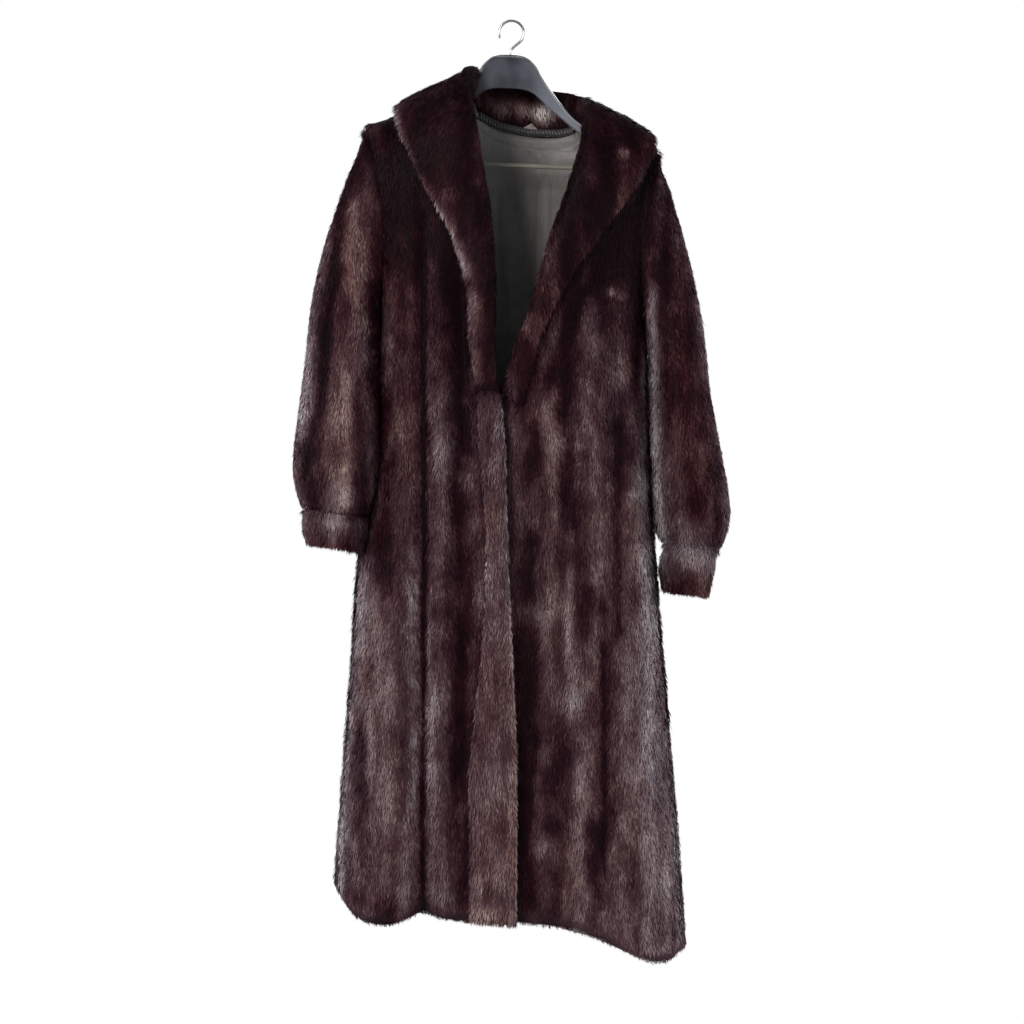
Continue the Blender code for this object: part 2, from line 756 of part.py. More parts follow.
# ---------------------------------------------------------------- fronts and back
def row_shares():
    """Heights of a panel's rows as shares of its length: hem to underarm, then the armhole."""
    top = along(SHOULDER, SHOULDER_X).z
    hem = HEM_Z
    underarm = (UNDERARM_Z - hem) / (top - hem)
    shares = [underarm * j / (PANEL_ROWS - 1) for j in range(PANEL_ROWS)]
    for j in range(1, ARMHOLE_ROWS + 1):
        turn = j / ARMHOLE_ROWS
        shares.append(mix(underarm, 1.0, 0.5 * turn + 0.5 * (1 - math.cos(math.pi * turn)) / 2))
    return shares


def side_x(sign, z):
    """The side seam below the underarm, and the armhole's seam above it."""
    if z > UNDERARM_Z:
        return sign * along(ARMHOLE, z).x
    girth = along(GIRTHS, z)
    return sign * (girth.right if sign < 0 else girth.left)


def hem_z(x, face):
    """The hem's height: from its table in front, gently waved and rounded up to the sides behind."""
    if face < 0:
        return HEM_Z + along(HEM, x).z
    corner = ease((abs(x) - BACK_HEM_CORNER) / (HEM[-1].x - BACK_HEM_CORNER))
    wave = BACK_HEM_WAVE * math.cos(x / BACK_HEM_WAVE_WIDTH)
    return HEM_Z + BACK_HEM_RISE + wave + corner * HEM[-1].z * BACK_HEM_CORNER_SHARE


def panel_points(guides, counts, face, lapped=False):
    """Rows of points on one panel's outside, from its first guide line to its last.

    Each guide gives x at a height; the columns are spread evenly between the guides.
    """
    rows = []
    seam = -GAP / 2 if face < 0 else GAP / 2
    for share in row_shares():
        row = []
        for index, count in enumerate(counts):
            last = index == len(counts) - 1
            for step in range(count + (1 if last else 0)):
                part = step / count
                x = mix(guides[index](MIDWAY_Z), guides[index + 1](MIDWAY_Z), part)
                for _ in range(HEIGHT_ROUNDS):
                    z = mix(hem_z(x, face), top_z(x, face), share)
                    x = mix(guides[index](z), guides[index + 1](z), part)
                depth = skin(x, z, face)
                if lapped:
                    depth -= lap(x, z)
                row.append(Vector((x, face * depth + seam, z)))
        rows.append(row)
    return rows


def armhole_direction(out, point, up):
    """The wall's direction at a point of the armhole's seam, up being 0 at the underarm."""
    return Vector((out, point.y * ARMHOLE_FORWARD, ARMHOLE_UP + ARMHOLE_TOP_UP * up)).normalized()


def edge_directions(rows, normals, side):
    """Sets the wall's direction along the shoulder, side seam and armhole, for both panels alike."""
    for column, point in enumerate(rows[-1]):
        if shoulder_z(point.x) - point.z > SEAM_TOUCH:
            continue
        slope = shoulder_z(point.x + SEAM_STEP) - shoulder_z(point.x - SEAM_STEP)
        normals[-1][column] = Vector((-slope, 0.0, 2 * SEAM_STEP)).normalized()
    underarm = PANEL_ROWS - 1
    for column, sign in side:
        for j in range(underarm + 1):
            normals[j][column] = Vector((sign, 0.0, 0.0))
        for j in range(underarm + 1, len(rows) - 1):
            up = ease((j - underarm) / ARMHOLE_ROWS)
            normals[j][column] = armhole_direction(sign * ARMHOLE_OUT, rows[j][column], up)


def line_guide(rows):
    """A table of points down a panel, as a rule that gives x at a height."""
    return lambda z: along(rows, z).x


def front_right(fur):
    """The right front, from its overlapping edge to the side seam and armhole."""
    guides = (
        line_guide(RIGHT_EDGE),
        line_guide(RIGHT_TROUGH),
        line_guide(RIGHT_CREASE),
        lambda z: side_x(-1, z),
    )
    rows = panel_points(guides, RIGHT_COLUMNS, -1)
    normals = [[-n for n in line] for line in normals_of(rows, False)]
    edge_directions(rows, normals, ((len(rows[0]) - 1, -1),))
    return rows, finish_wall("front_right", rows, normals, PELT, False, fur)


def front_left(fur):
    """The left front, whose edge passes under the right front."""
    guides = (
        line_guide(LEFT_EDGE),
        line_guide(LEFT_TROUGH),
        line_guide(LEFT_CREASE),
        lambda z: side_x(1, z),
    )
    rows = panel_points(guides, LEFT_COLUMNS, -1, lapped=True)
    normals = normals_of(rows, False)
    edge_directions(rows, normals, ((len(rows[0]) - 1, 1),))
    return rows, finish_wall("front_left", rows, normals, PELT, False, fur)


def back(fur):
    """The back, whose top follows both shoulders and the neckline between them."""
    guides = (
        lambda z: side_x(-1, z),
        lambda z: BACK_NECK[0].x,
        lambda z: BACK_NECK[1].x,
        lambda z: BACK_NECK[4].x,
        lambda z: BACK_NECK[-2].x,
        lambda z: BACK_NECK[-1].x,
        lambda z: side_x(1, z),
    )
    rows = panel_points(guides, BACK_COLUMNS, 1)
    normals = [[-n for n in line] for line in normals_of(rows, False)]
    edge_directions(rows, normals, ((0, -1), (len(rows[0]) - 1, 1)))
    return rows, normals, finish_wall("back", rows, normals, PELT, False, fur)


def finish_wall(name, rows, normals, depth, closed, surface):
    """Gives a panel its wall, inwards from its outside, and lets it down as it hangs."""
    inner = offset(rows, normals, depth)
    return wall(
        name,
        [[droop(p) for p in row] for row in rows],
        [[droop(p) for p in row] for row in inner],
        closed,
        surface,
    )


# ---------------------------------------------------------------- sleeves and cuffs
def section_point(section, sign, turn):
    """A point of a level sleeve section; turn 0 faces the body, 90 degrees the front."""
    angle = math.radians(turn)
    power = 2.0 / SLEEVE_SQUARENESS
    across = math.copysign(abs(math.cos(angle)) ** power, math.cos(angle))
    forward = math.copysign(abs(math.sin(angle)) ** power, math.sin(angle))
    middle = (section.outer + section.inner) / 2
    half = (section.outer - section.inner) / 2
    depth = (section.front + section.back) / 2
    x = sign * (middle - half * across)
    y = (section.back - section.front) / 2 - depth * forward
    return Vector((x, y, section.z))


def ring_turns():
    """The turns of a whole sleeve section, its back mirroring its front."""
    return [*SLEEVE_TURNS, *(360 - turn for turn in reversed(SLEEVE_TURNS[1:-1]))]


def fold_rise(turn, z, depth):
    """The lengthwise fold of a sleeve, deepest halfway down."""
    away = (turn - FOLD_TURN) / FOLD_WIDTH
    shown = ease((FOLD_TOP_Z - z) / FOLD_TOP_RAMP) * ease((z - FOLD_FOOT_Z) / FOLD_FOOT_RAMP)
    return -depth * math.exp(-away * away) * shown


def beside_body(point):
    """Moves a point of a sleeve sideways until it is clear of the body."""
    girth = along(GIRTHS, point.z)
    half = girth.right if point.x < 0 else girth.left
    reach = (girth.front if point.y < 0 else girth.back) + BODY_CLEAR
    inside = max(0.0, 1.0 - (abs(point.y) / reach) ** ROUNDING) ** (1.0 / ROUNDING)
    limit = half * inside + BODY_CLEAR
    if abs(point.y) < reach and abs(point.x) < limit:
        return Vector((math.copysign(limit, point.x), point.y, point.z))
    return point


def armhole_ring(front_rows, front_column, back_rows, back_column):
    """The armhole's edge from the underarm over the front to the shoulder and down the back."""
    base = PANEL_ROWS - 1
    front = [front_rows[j][front_column] for j in range(base, base + ARMHOLE_ROWS + 1)]
    rear = [back_rows[j][back_column] for j in range(base, base + ARMHOLE_ROWS + 1)]
    underarm = (front[0] + rear[0]) / 2
    top = (front[-1] + rear[-1]) / 2
    return [underarm, *front[1:-1], top, *reversed(rear[1:-1])]


def sleeve(name, sign, table, ring, fold_depth, fur):
    """A bishop sleeve from the armhole down to its gathered wrist."""
    turns = ring_turns()
    start = [point + Vector((sign * SEAM_CLEAR, 0.0, 0.0)) for point in ring]
    rows = [start]
    level = along(table, table[1].z)
    for step in range(1, CAP_ROWS + 1):
        share = step / CAP_ROWS
        out = 1.0 - (1.0 - share) ** CAP_CURVE
        row = []
        for point, turn in zip(start, turns):
            target = section_point(level, sign, turn)
            row.append(Vector((
                mix(point.x, target.x, out),
                mix(point.y, target.y, out),
                mix(point.z, target.z, share),
            )))
        rows.append(row)
    foot = table[-1].z
    for step in range(1, SLEEVE_ROWS - CAP_ROWS + 1):
        z = mix(table[1].z, foot, step / (SLEEVE_ROWS - CAP_ROWS))
        level = along(table, z)
        rows.append([section_point(level, sign, turn) for turn in turns])
    for row in rows[1:]:
        for i, turn in enumerate(turns):
            rise = fold_rise(turn, row[i].z, fold_depth)
            middle = sum(row, Vector()) / len(row)
            way = row[i] - middle
            way.z = 0.0
            row[i] = row[i] + way.normalized() * rise
            if row[i].z < UNDERARM_Z:
                row[i] = beside_body(row[i])
    normals = normals_of(rows, True)
    if sign > 0:
        normals = [[-n for n in line] for line in normals]
    count = len(turns)
    for i, point in enumerate(start):
        up = min(i, count - i) / ARMHOLE_ROWS
        toward = mix(-1.0, ARMHOLE_OUT, ease(up / UNDERARM_SHARE))
        normals[0][i] = armhole_direction(sign * toward, point, ease(up))
    return finish_wall(name, rows, normals, SLEEVE_PELT, True, fur)


def cuff(name, sign, table, fur):
    """The straight band below a sleeve's gathered wrist."""
    turns = ring_turns()
    rows = []
    for step in range(CUFF_ROWS + 1):
        level = along(table, mix(table[0].z, table[-1].z, step / CUFF_ROWS))
        row = [section_point(level, sign, turn) for turn in turns]
        rows.append([beside_body(point) for point in row])
    normals = normals_of(rows, True)
    if sign > 0:
        normals = [[-n for n in line] for line in normals]
    for line in normals:
        for n in line:
            n.z = 0.0
            n.normalize()
    return finish_wall(name, rows, normals, CUFF_PELT, True, fur)


# ---------------------------------------------------------------- collar and border
def front_depth(x, z, lapped):
    """Depth of a front's outside, sunk where it passes under the other front."""
    return skin(x, z, -1) - (lap(x, z) if lapped else 0.0)


def controls(section, sign, lapped):
    """Seam, roll, fall and outer edge of a collar section, at the middle of its wall."""
    half = section.thick / 2
    lift = GAP + half
    nose = section.roll_x + sign * half * NOSE
    if section.roll_y is None:
        rear = section.roll_x + sign * OVERHANG
        roll = Vector((nose, -front_depth(rear, section.roll_z, lapped) - lift, section.roll_z))
        panel_edge = along(LEFT_EDGE if lapped else RIGHT_EDGE, section.roll_z).x
        wrapped = ease((sign * (panel_edge - section.roll_x) - WRAP_START) / WRAP_RAMP)
        seam = roll + Vector((0.0, WRAP_DEPTH * wrapped, 0.0))
        seam.x -= sign * SEAM_IN * half * (1 - wrapped)
    elif section.face > 0:
        roll = Vector((section.roll_x, section.roll_y, section.roll_z))
        seam_z = top_z(section.roll_x, 1) + STAND_LIFT
        seam_y = skin(section.roll_x, seam_z - STAND_INSET, 1) - PELT / 2
        seam = Vector((section.roll_x, seam_y, seam_z))
    else:
        roll = Vector((section.roll_x, section.roll_y, section.roll_z))
        seam = roll + Vector((0.0, 0.0, -SEAM_DROP))
    if section.face == 0:
        edge = Vector((section.edge_x, 0.0, shoulder_z(section.edge_x) + lift))
    elif section.face < 0:
        edge_y = -front_depth(section.edge_x, section.edge_z, lapped) - lift
        edge = Vector((section.edge_x, edge_y, section.edge_z))
    else:
        edge = Vector((section.edge_x, skin(section.edge_x, section.edge_z, 1) + lift, section.edge_z))
    fall = (roll + edge) / 2
    if section.face == 0:
        fall.z = shoulder_z(fall.x) + lift + section.puff
    elif section.face < 0:
        fall.y = -front_depth(fall.x, fall.z, lapped) - lift - section.puff
        fall.z += PUFF_LIFT * section.puff
    else:
        fall.y = skin(fall.x, fall.z, 1) + lift + section.puff
    return [seam, roll, fall, edge]


def smooth_point(points, place):
    """A point of a smooth run through points, at a fractional place."""
    index = min(int(place), len(points) - 2)
    t = place - index
    low, high = points[index], points[index + 1]
    before = points[max(index - 1, 0)]
    after = points[min(index + 2, len(points) - 1)]
    return (
        low * (2 * t**3 - 3 * t**2 + 1)
        + (high - before) / 2 * (t**3 - 2 * t**2 + t)
        + high * (3 * t**2 - 2 * t**3)
        + (after - low) / 2 * (t**3 - t**2)
    )


def off_hanger(point):
    """Lifts a point of the collar off the hanger's arm, where it crosses it."""
    arm = along(HANGER, abs(point.x))
    top = arm_top_z(point.x)
    low = top - (arm.top - arm.foot) - HANGER_CLEAR
    high = top + HANGER_CLEAR
    if abs(point.y) < arm.half + HANGER_CLEAR and low < point.z < high:
        return Vector((point.x, point.y, high))
    return point


def off_body(point, lapped):
    """Moves a point of the collar out until it is clear of the coat's fronts, back and shoulders."""
    face = -1 if point.y < 0 else 1
    if face < 0:
        depth = front_depth(point.x, point.z, lapped)
    else:
        depth = skin(point.x, point.z, face)
    above = top_z(point.x, face) - point.z
    clear = COLLAR_CLEAR + SHOULDER_EXTRA * (1.0 - ease(above / SHOULDER_REACH))
    if above < -clear or abs(point.y) > depth + clear:
        return point
    if above + clear < depth + clear - abs(point.y):
        return Vector((point.x, point.y, point.z + above + clear))
    return Vector((point.x, face * (depth + clear), point.z))


def collar(name, sign, table, lapped, stations, neighbours, fur):
    """One half of the shawl collar, or the border: a thick wall that rolls over the front's edge."""
    frames = [controls(section, sign, lapped) for section in table]
    rows = []
    thicks = []
    for station in range(stations + 1):
        place_along = station / stations * (len(table) - 1)
        lines = [smooth_point([f[k] for f in frames], place_along) for k in range(4)]
        rows.append([smooth_point(lines, step.place) for step in COLLAR_STEPS])
        index = min(int(place_along), len(table) - 2)
        thicks.append(mix(table[index].thick, table[index + 1].thick, place_along - index))
    normals = normals_of(rows, False)
    if (sign < 0) != (name == "front_band"):
        normals = [[-n for n in line] for line in normals]
    outer, inner = [], []
    for row, line, thick in zip(rows, normals, thicks):
        over, under = [], []
        for i, (point, normal) in enumerate(zip(row, line)):
            half = thick / 2 * COLLAR_STEPS[i].thickness
            over.append(off_hanger(point + normal * half))
            below = off_hanger(point - normal * half)
            wraps = i < WRAP_STEPS and point.y < WRAP_BACK
            under.append(below if wraps else off_body(below, lapped))
        outer.append(over)
        inner.append(under)
    if name != "front_band":
        for grid in (outer, inner):
            for point in grid[-1]:
                point.x = BACK_SEAM_X + sign * GAP / 2
    finished = [[droop(p) for p in row] for row in outer]
    made = wall(name, finished, [[droop(p) for p in row] for row in inner], False, fur)
    settle(made, neighbours)
    return rows, made


# ---------------------------------------------------------------- lining, cord and tab
def lining_back(back_rows, back_normals, satin):
    """The back's satin lining, just inside its wall, from the neck seam to above the hem."""
    rows = [row[1:-1] for row in back_rows[1:-1]]
    ways = [line[1:-1] for line in back_normals[1:-1]]
    outer = offset(rows, ways, PELT + LINING_CLEAR)
    inner = offset(rows, ways, PELT + LINING_CLEAR + LINING)
    wall(
        "lining_back",
        [[droop(p) for p in row] for row in outer],
        [[droop(p) for p in row] for row in inner],
        False,
        satin,
    )


def neck_cord(seams, neighbours, braid):
    """The thick cord that covers the seam between the collar's stand and the lining."""
    away = Vector((0.0, -CORD - STAND_EDGE - CORD_BEHIND, CORD_LIFT))
    route = [droop(seam + away) for seam in seams]
    for _ in range(SETTLE_ROUNDS):
        for point in route:
            for other in neighbours:
                _, move = shortfall(point, other.tree, CORD + SETTLE_CLEAR)
                if move is not None:
                    point += move / 2
    tube("neck_cord", route, CORD, braid)
    return route


def neck_tab(route, stands, ribbon):
    """A folded ribbon's pointed end, on the collar's stand just above the neck cord."""
    corners = (
        Vector((-TAB_HALF_WIDTH, 0.0, 0.0)),
        Vector((TAB_HALF_WIDTH, 0.0, 0.0)),
        Vector((TAB_POINT_X, 0.0, TAB_HEIGHT)),
    )
    first, last = route[TAB_FROM], route[TAB_TO]
    turn = Matrix.Rotation(-math.atan2(last.z - first.z, last.x - first.x), 4, "Y")
    foot = (first + last) / 2 + Vector((0.0, 0.0, CORD + GAP))
    reach = []
    for corner in (*corners, Vector()):
        start = foot + turn @ corner
        for stand in stands:
            hit = stand.tree.ray_cast(Vector((start.x, 0.0, start.z)), Vector((0.0, 1.0, 0.0)))[0]
            if hit is not None:
                reach.append(hit.y)
    foot.y = min(reach) - GAP - TAB_THICKNESS / 2 - TAB_CLEAR
    shape = bpy.data.curves.new("neck_tab", "CURVE")
    shape.dimensions = "2D"
    shape.fill_mode = "BOTH"
    shape.extrude = TAB_THICKNESS / 2
    run = shape.splines.new("POLY")
    run.points.add(len(corners) - 1)
    for target, corner in zip(run.points, corners):
        target.co = (corner.x, corner.z, 0.0, 1.0)
    run.use_cyclic_u = True
    shape.materials.append(ribbon)
    made = bpy.data.objects.new("neck_tab", shape)
    made.matrix_world = Matrix.Translation(foot) @ turn @ Matrix.Rotation(math.radians(90), 4, "X")
    bpy.data.collections[COLLECTION].objects.link(made)


# ---------------------------------------------------------------- hanger
def arm_ring(section, side):
    """A section of the hanger's body: a rounded top over a shallow channel."""
    top = CROWN_TOP_Z + section.top
    foot = CROWN_TOP_Z + section.foot
    half = section.half
    rise = min(half, ARM_ROUND * (top - foot))
    lip = LIP * half
    points = [Vector((section.x * side, half, foot))]
    for step in range(ARM_ROUND_STEPS + 1):
        angle = math.pi * step / ARM_ROUND_STEPS
        height = top - rise + rise * math.sin(angle)
        points.append(Vector((section.x * side, half * math.cos(angle), height)))
    points.append(Vector((section.x * side, -half, foot)))
    for y, z in ((-lip, foot), (-lip, foot + section.hollow), (lip, foot + section.hollow), (lip, foot)):
        points.append(Vector((section.x * side, y, z)))
    return points


def hanger_body(tilt, plastic):
    """The moulded crown and both arms."""
    places = [HANGER[-1].x * i / HANGER_STEPS for i in range(HANGER_STEPS + 1)]
    sections = [along(HANGER, x) for x in places]
    rings = [arm_ring(section, -1) for section in reversed(sections[1:])]
    rings += [arm_ring(section, 1) for section in sections]
    made = loft("hanger_body", rings, plastic)
    made.parent = tilt
    return made


def rounded_run(corners, radius, steps):
    """Points along straight runs whose corners are rounded."""
    points = [corners[0]]
    for before, corner, after in zip(corners, corners[1:], corners[2:]):
        start = corner + (before - corner).normalized() * radius
        end = corner + (after - corner).normalized() * radius
        for i in range(steps + 1):
            t = i / steps
            points.append(start * (1 - t) ** 2 + corner * 2 * t * (1 - t) + end * t**2)
    points.append(corners[-1])
    return points


def hanger_bar(tilt, plastic):
    """The trouser bar, whose ends turn up into the arms' channels."""
    section = along(HANGER, BAR_REACH)
    end_z = CROWN_TOP_Z + section.foot + section.hollow - BAR_END_CLEAR
    low_z = CROWN_TOP_Z - BAR_DROP
    corners = [
        Vector((-BAR_REACH, 0.0, end_z)),
        Vector((-BAR_REACH, 0.0, low_z)),
        Vector((BAR_REACH, 0.0, low_z)),
        Vector((BAR_REACH, 0.0, end_z)),
    ]
    route = rounded_run(corners, BAR_BEND, BAR_BEND_STEPS)
    tube("hanger_bar", route, BAR, plastic).parent = tilt


def hanger_hook(tilt, steel):
    """The wire hook: its bend's inside is at the origin, and its neck ends on the crown."""
    middle = Vector((0.0, 0.0, WIRE - HOOK_BEND))
    route = [point + Vector((0.0, 0.0, CROWN_TOP_Z)) for point in HOOK_NECK]
    for degrees in range(HOOK_FROM, HOOK_TO + 1, HOOK_STEP):
        angle = math.radians(degrees)
        route.append(middle + Vector((math.cos(angle), 0.0, math.sin(angle))) * HOOK_BEND)
    tube("hanger_hook", route, WIRE, steel).parent = tilt


# ---------------------------------------------------------------- build
def main():
    """Makes the hanger first, then the coat from the panels outwards."""
    for old in list(bpy.data.objects):
        bpy.data.objects.remove(old)
    group = bpy.data.collections.new(COLLECTION)
    bpy.context.scene.collection.children.link(group)
    fur = material("mink_fur", (0.045, 0.022, 0.018), 0.7)
    satin = material("lining_satin", (0.075, 0.075, 0.065), 0.4)
    braid = material("gimp_cord", (0.02, 0.02, 0.022), 0.6)
    ribbon = material("pale_ribbon", (0.35, 0.33, 0.3), 0.5)
    plastic = material("black_plastic", (0.012, 0.012, 0.014), 0.2)
    steel = material("polished_steel", (0.6, 0.6, 0.6), 0.15, 1.0)

    tilt = bpy.data.objects.new("hanger_tilt", None)
    tilt.rotation_euler = (0.0, HANGER_TILT, 0.0)
    group.objects.link(tilt)
    hanger = hanger_body(tilt, plastic)
    hanger_bar(tilt, plastic)
    hanger_hook(tilt, steel)
    held = neighbour(hanger, Matrix.Rotation(HANGER_TILT, 4, "Y"))

    right_rows, right_front = front_right(fur)
    left_rows, left_front = front_left(fur)
    back_rows, back_normals, rear = back(fur)
    panels = [neighbour(made) for made in (right_front, left_front, rear)]

    last_right = len(right_rows[0]) - 1
    last_left = len(left_rows[0]) - 1
    right_ring = armhole_ring(right_rows, last_right, back_rows, 0)
    left_ring = armhole_ring(left_rows, last_left, back_rows, len(back_rows[0]) - 1)
    right_arm = sleeve("sleeve_right", -1, RIGHT_SLEEVE, right_ring, RIGHT_FOLD, fur)
    left_arm = sleeve("sleeve_left", 1, LEFT_SLEEVE, left_ring, LEFT_FOLD, fur)
    settle(right_arm, panels)
    settle(left_arm, panels)
    cuff("cuff_right", -1, RIGHT_CUFF, fur)
    cuff("cuff_left", 1, LEFT_CUFF, fur)

    below = [*panels, held]
    right_collar, right_fall = collar(
        "collar_right", -1, RIGHT_COLLAR, False, COLLAR_STATIONS, below, fur
    )
    left_collar, left_fall = collar(
        "collar_left", 1, LEFT_COLLAR, True, COLLAR_STATIONS, below, fur
    )
    beside_band = [*below, neighbour(right_fall)]
    collar("front_band", -1, BAND, False, BAND_STATIONS, beside_band, fur)

    lining_back(back_rows, back_normals, satin)
    behind_neck = right_collar[-STAND_SECTIONS:] + left_collar[-STAND_SECTIONS:-1][::-1]
    seams = [row[0] for row in behind_neck]
    stands = [neighbour(right_fall), neighbour(left_fall)]
    route = neck_cord(seams, [*below, *stands], braid)
    neck_tab(route, stands, ribbon)


if __name__ == "__main__":
    main()
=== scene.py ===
"""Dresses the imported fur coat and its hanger: mink pile on its pelt, satin lining, gimp cord, ribbon tab,
moulded hanger and polished steel hook, in a plain pale studio."""

import logging
import math
from dataclasses import dataclass
from enum import Enum

import bpy
import numpy as np
from bpy.types import ID, Material, Mesh, MeshPolygon, Node, NodeSocket, NodeTree, Object
from mathutils import Matrix, Vector
from mathutils.bvhtree import BVHTree


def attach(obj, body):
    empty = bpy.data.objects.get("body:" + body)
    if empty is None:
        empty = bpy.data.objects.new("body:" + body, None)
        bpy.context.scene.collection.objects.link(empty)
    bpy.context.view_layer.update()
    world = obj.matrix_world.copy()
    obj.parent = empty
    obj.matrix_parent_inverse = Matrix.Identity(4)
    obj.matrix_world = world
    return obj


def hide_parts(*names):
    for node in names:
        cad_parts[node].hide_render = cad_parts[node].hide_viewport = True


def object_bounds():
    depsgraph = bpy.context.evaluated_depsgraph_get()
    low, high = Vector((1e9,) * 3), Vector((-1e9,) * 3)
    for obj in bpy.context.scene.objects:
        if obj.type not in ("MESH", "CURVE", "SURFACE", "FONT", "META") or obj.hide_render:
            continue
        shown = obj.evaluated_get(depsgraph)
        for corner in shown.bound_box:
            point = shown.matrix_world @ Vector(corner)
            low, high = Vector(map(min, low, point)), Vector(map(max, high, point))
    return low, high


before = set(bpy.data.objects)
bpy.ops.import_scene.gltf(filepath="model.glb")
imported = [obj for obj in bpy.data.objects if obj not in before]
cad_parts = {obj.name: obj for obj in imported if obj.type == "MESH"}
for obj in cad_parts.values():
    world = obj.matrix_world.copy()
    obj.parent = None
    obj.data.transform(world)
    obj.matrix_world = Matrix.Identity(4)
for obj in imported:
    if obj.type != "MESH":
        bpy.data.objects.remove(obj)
CAD_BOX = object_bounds()

BODY = "root"
DOWN = np.array((0.0, 0.0, -1.0))
FRONT = np.array((0.0, -1.0, 0.0))
FRONTS = ("front_right", "front_left")

# How the pelts lie under the pile and against their neighbours, in metres.
PILE_DEPTH = 0.004
TOUCHING = 0.0015
ROOM_FOR_PILE = 0.014
RESTING = 0.0008
BARE_BY_CORD = 0.006

# Where the pile grows paler down the coat, in metres, and how much painted shade darkens it where another
# piece lies close.
CHEST = -0.30
CHEST_TO_HIP = 0.40
PAINTED_CONTACT_SHADE = 0.16

# A face counts as sideways from this share of its normal along x, and fully after the rest of it.
SIDEWAYS_FROM = 0.55
SIDEWAYS_SPAN = 0.45

# Edges bent by more than this stay sharp.
CLOTH_EDGE = math.radians(50)
PLASTIC_EDGE = math.radians(45)

# The distance of the bands of a wave texture of scale 1, in millimetres.
BAND_MM = 314

# A place or size in the front view (x and z, or width and height), and one in space.
Pair = tuple[float, float]
Point = tuple[float, float, float]
Trees = dict[str, BVHTree]

log = logging.getLogger("fur coat")


# ---------------------------------------------------------------- colours and nodes


def linear(hex_colour: str) -> tuple[float, float, float, float]:
    """Turns an sRGB hex colour into the linear colour that a shader works with.

    Args:
        hex_colour: six hex digits after a #.

    Returns:
        Red, green, blue and an alpha of 1.
    """
    parts = [int(hex_colour[i : i + 2], 16) / 255 for i in (1, 3, 5)]
    return (*(p / 12.92 if p <= 0.04045 else ((p + 0.055) / 1.055) ** 2.4 for p in parts), 1.0)


def new_material(name: str) -> tuple[Material, NodeTree, Node]:
    """Starts a material.

    Args:
        name: the substance.

    Returns:
        The material, its node tree and its shader.
    """
    material = bpy.data.materials.new(name)
    material.use_nodes = True
    return material, material.node_tree, material.node_tree.nodes["Principled BSDF"]


def fill(tree: NodeTree, node: Node, **inputs: object) -> None:
    """Gives a node's inputs their values and links.

    Args:
        tree: where the node is.
        node: the node.
        inputs: a value or a socket for each input, by its name with _ for a space, or by i and its number.
    """
    for key, value in inputs.items():
        socket = node.inputs[int(key[1:]) if key[1:].isdigit() else key.replace("_", " ")]
        if isinstance(value, NodeSocket):
            tree.links.new(value, socket)
        else:
            socket.default_value = value


def add_node(
    tree: NodeTree, kind: str, settings: dict | None = None, out: str | int = 0, **inputs: object
) -> NodeSocket:
    """Adds a node with its settings, values and links.

    Args:
        tree: where it goes.
        kind: the node's type after ShaderNode, such as TexNoise.
        settings: the node's own properties.
        out: which of its outputs is wanted, by its name or number.
        inputs: as for fill.

    Returns:
        That output.
    """
    node = tree.nodes.new(f"ShaderNode{kind}")
    for key, value in (settings or {}).items():
        setattr(node, key, value)
    fill(tree, node, **inputs)
    return node.outputs[out]


def set_ramp(colour: NodeSocket, *stops: tuple[float, str]) -> None:
    """Gives a colour ramp its stops.

    Args:
        colour: the ramp's output.
        stops: place and hex colour of each.
    """
    elements = colour.node.color_ramp.elements
    while len(elements) > 1:
        elements.remove(elements[0])
    elements[0].position, elements[0].color = stops[0][0], linear(stops[0][1])
    for place, shade in stops[1:]:
        elements.new(place).color = linear(shade)


# ---------------------------------------------------------------- finishes


@dataclass(frozen=True)
class MinkPile:
    """Dressed mink guard hair over dense underfur: wine brown to grey mauve, lightened in places by painted
    sheen, darkened towards the root by painted shade, and with a faint sheen where the light rakes it."""

    roughness: float = 0.5
    specular: float = 0.03
    sheen: float = 0.03
    sheen_roughness: float = 0.3
    sheen_tint: str = "#84727c"
    painted_root_shade: float = 0.5
    tones: tuple[str, ...] = ("#0a0206", "#1c0911", "#3a292d", "#64585c", "#918a8d", "#b9b5b6")
    rusty_tones: tuple[str, ...] = ("#0d0203", "#270a0e", "#4a302e", "#725850", "#9b8578", "#bdac9e")

    def material(self) -> Material:
        """Builds the hair's material, which reads the pile attribute: tone, place along the hair, warmth.
        Painted shade darkens the hair towards its root.
        """
        material, tree, shader = new_material("mink guard hair")
        pile = add_node(tree, "Attribute", {"attribute_name": "pile"})
        parts = add_node(tree, "SeparateColor", Color=pile).node.outputs
        ramps = []
        for tones in (self.tones, self.rusty_tones):
            ramps.append(add_node(tree, "ValToRGB", Fac=parts["Red"]))
            set_ramp(ramps[-1], *((i / (len(tones) - 1), tone) for i, tone in enumerate(tones)))
        mixed = add_node(tree, "Mix", {"data_type": "RGBA"}, 2, i0=parts["Blue"], i6=ramps[0], i7=ramps[1])
        # Painted shade: the hair darkens towards its root.
        shade = add_node(tree, "MapRange", Value=parts["Green"], From_Max=0.8, To_Min=self.painted_root_shade)
        multiply = {"data_type": "RGBA", "blend_type": "MULTIPLY"}
        colour = add_node(tree, "Mix", multiply, 2, i0=1.0, i6=mixed, i7=shade)
        fill(tree, shader, Base_Color=colour, Roughness=self.roughness, Specular_IOR_Level=self.specular)
        fill(tree, shader, Sheen_Weight=self.sheen, Sheen_Roughness=self.sheen_roughness)
        fill(tree, shader, Sheen_Tint=linear(self.sheen_tint))
        return material


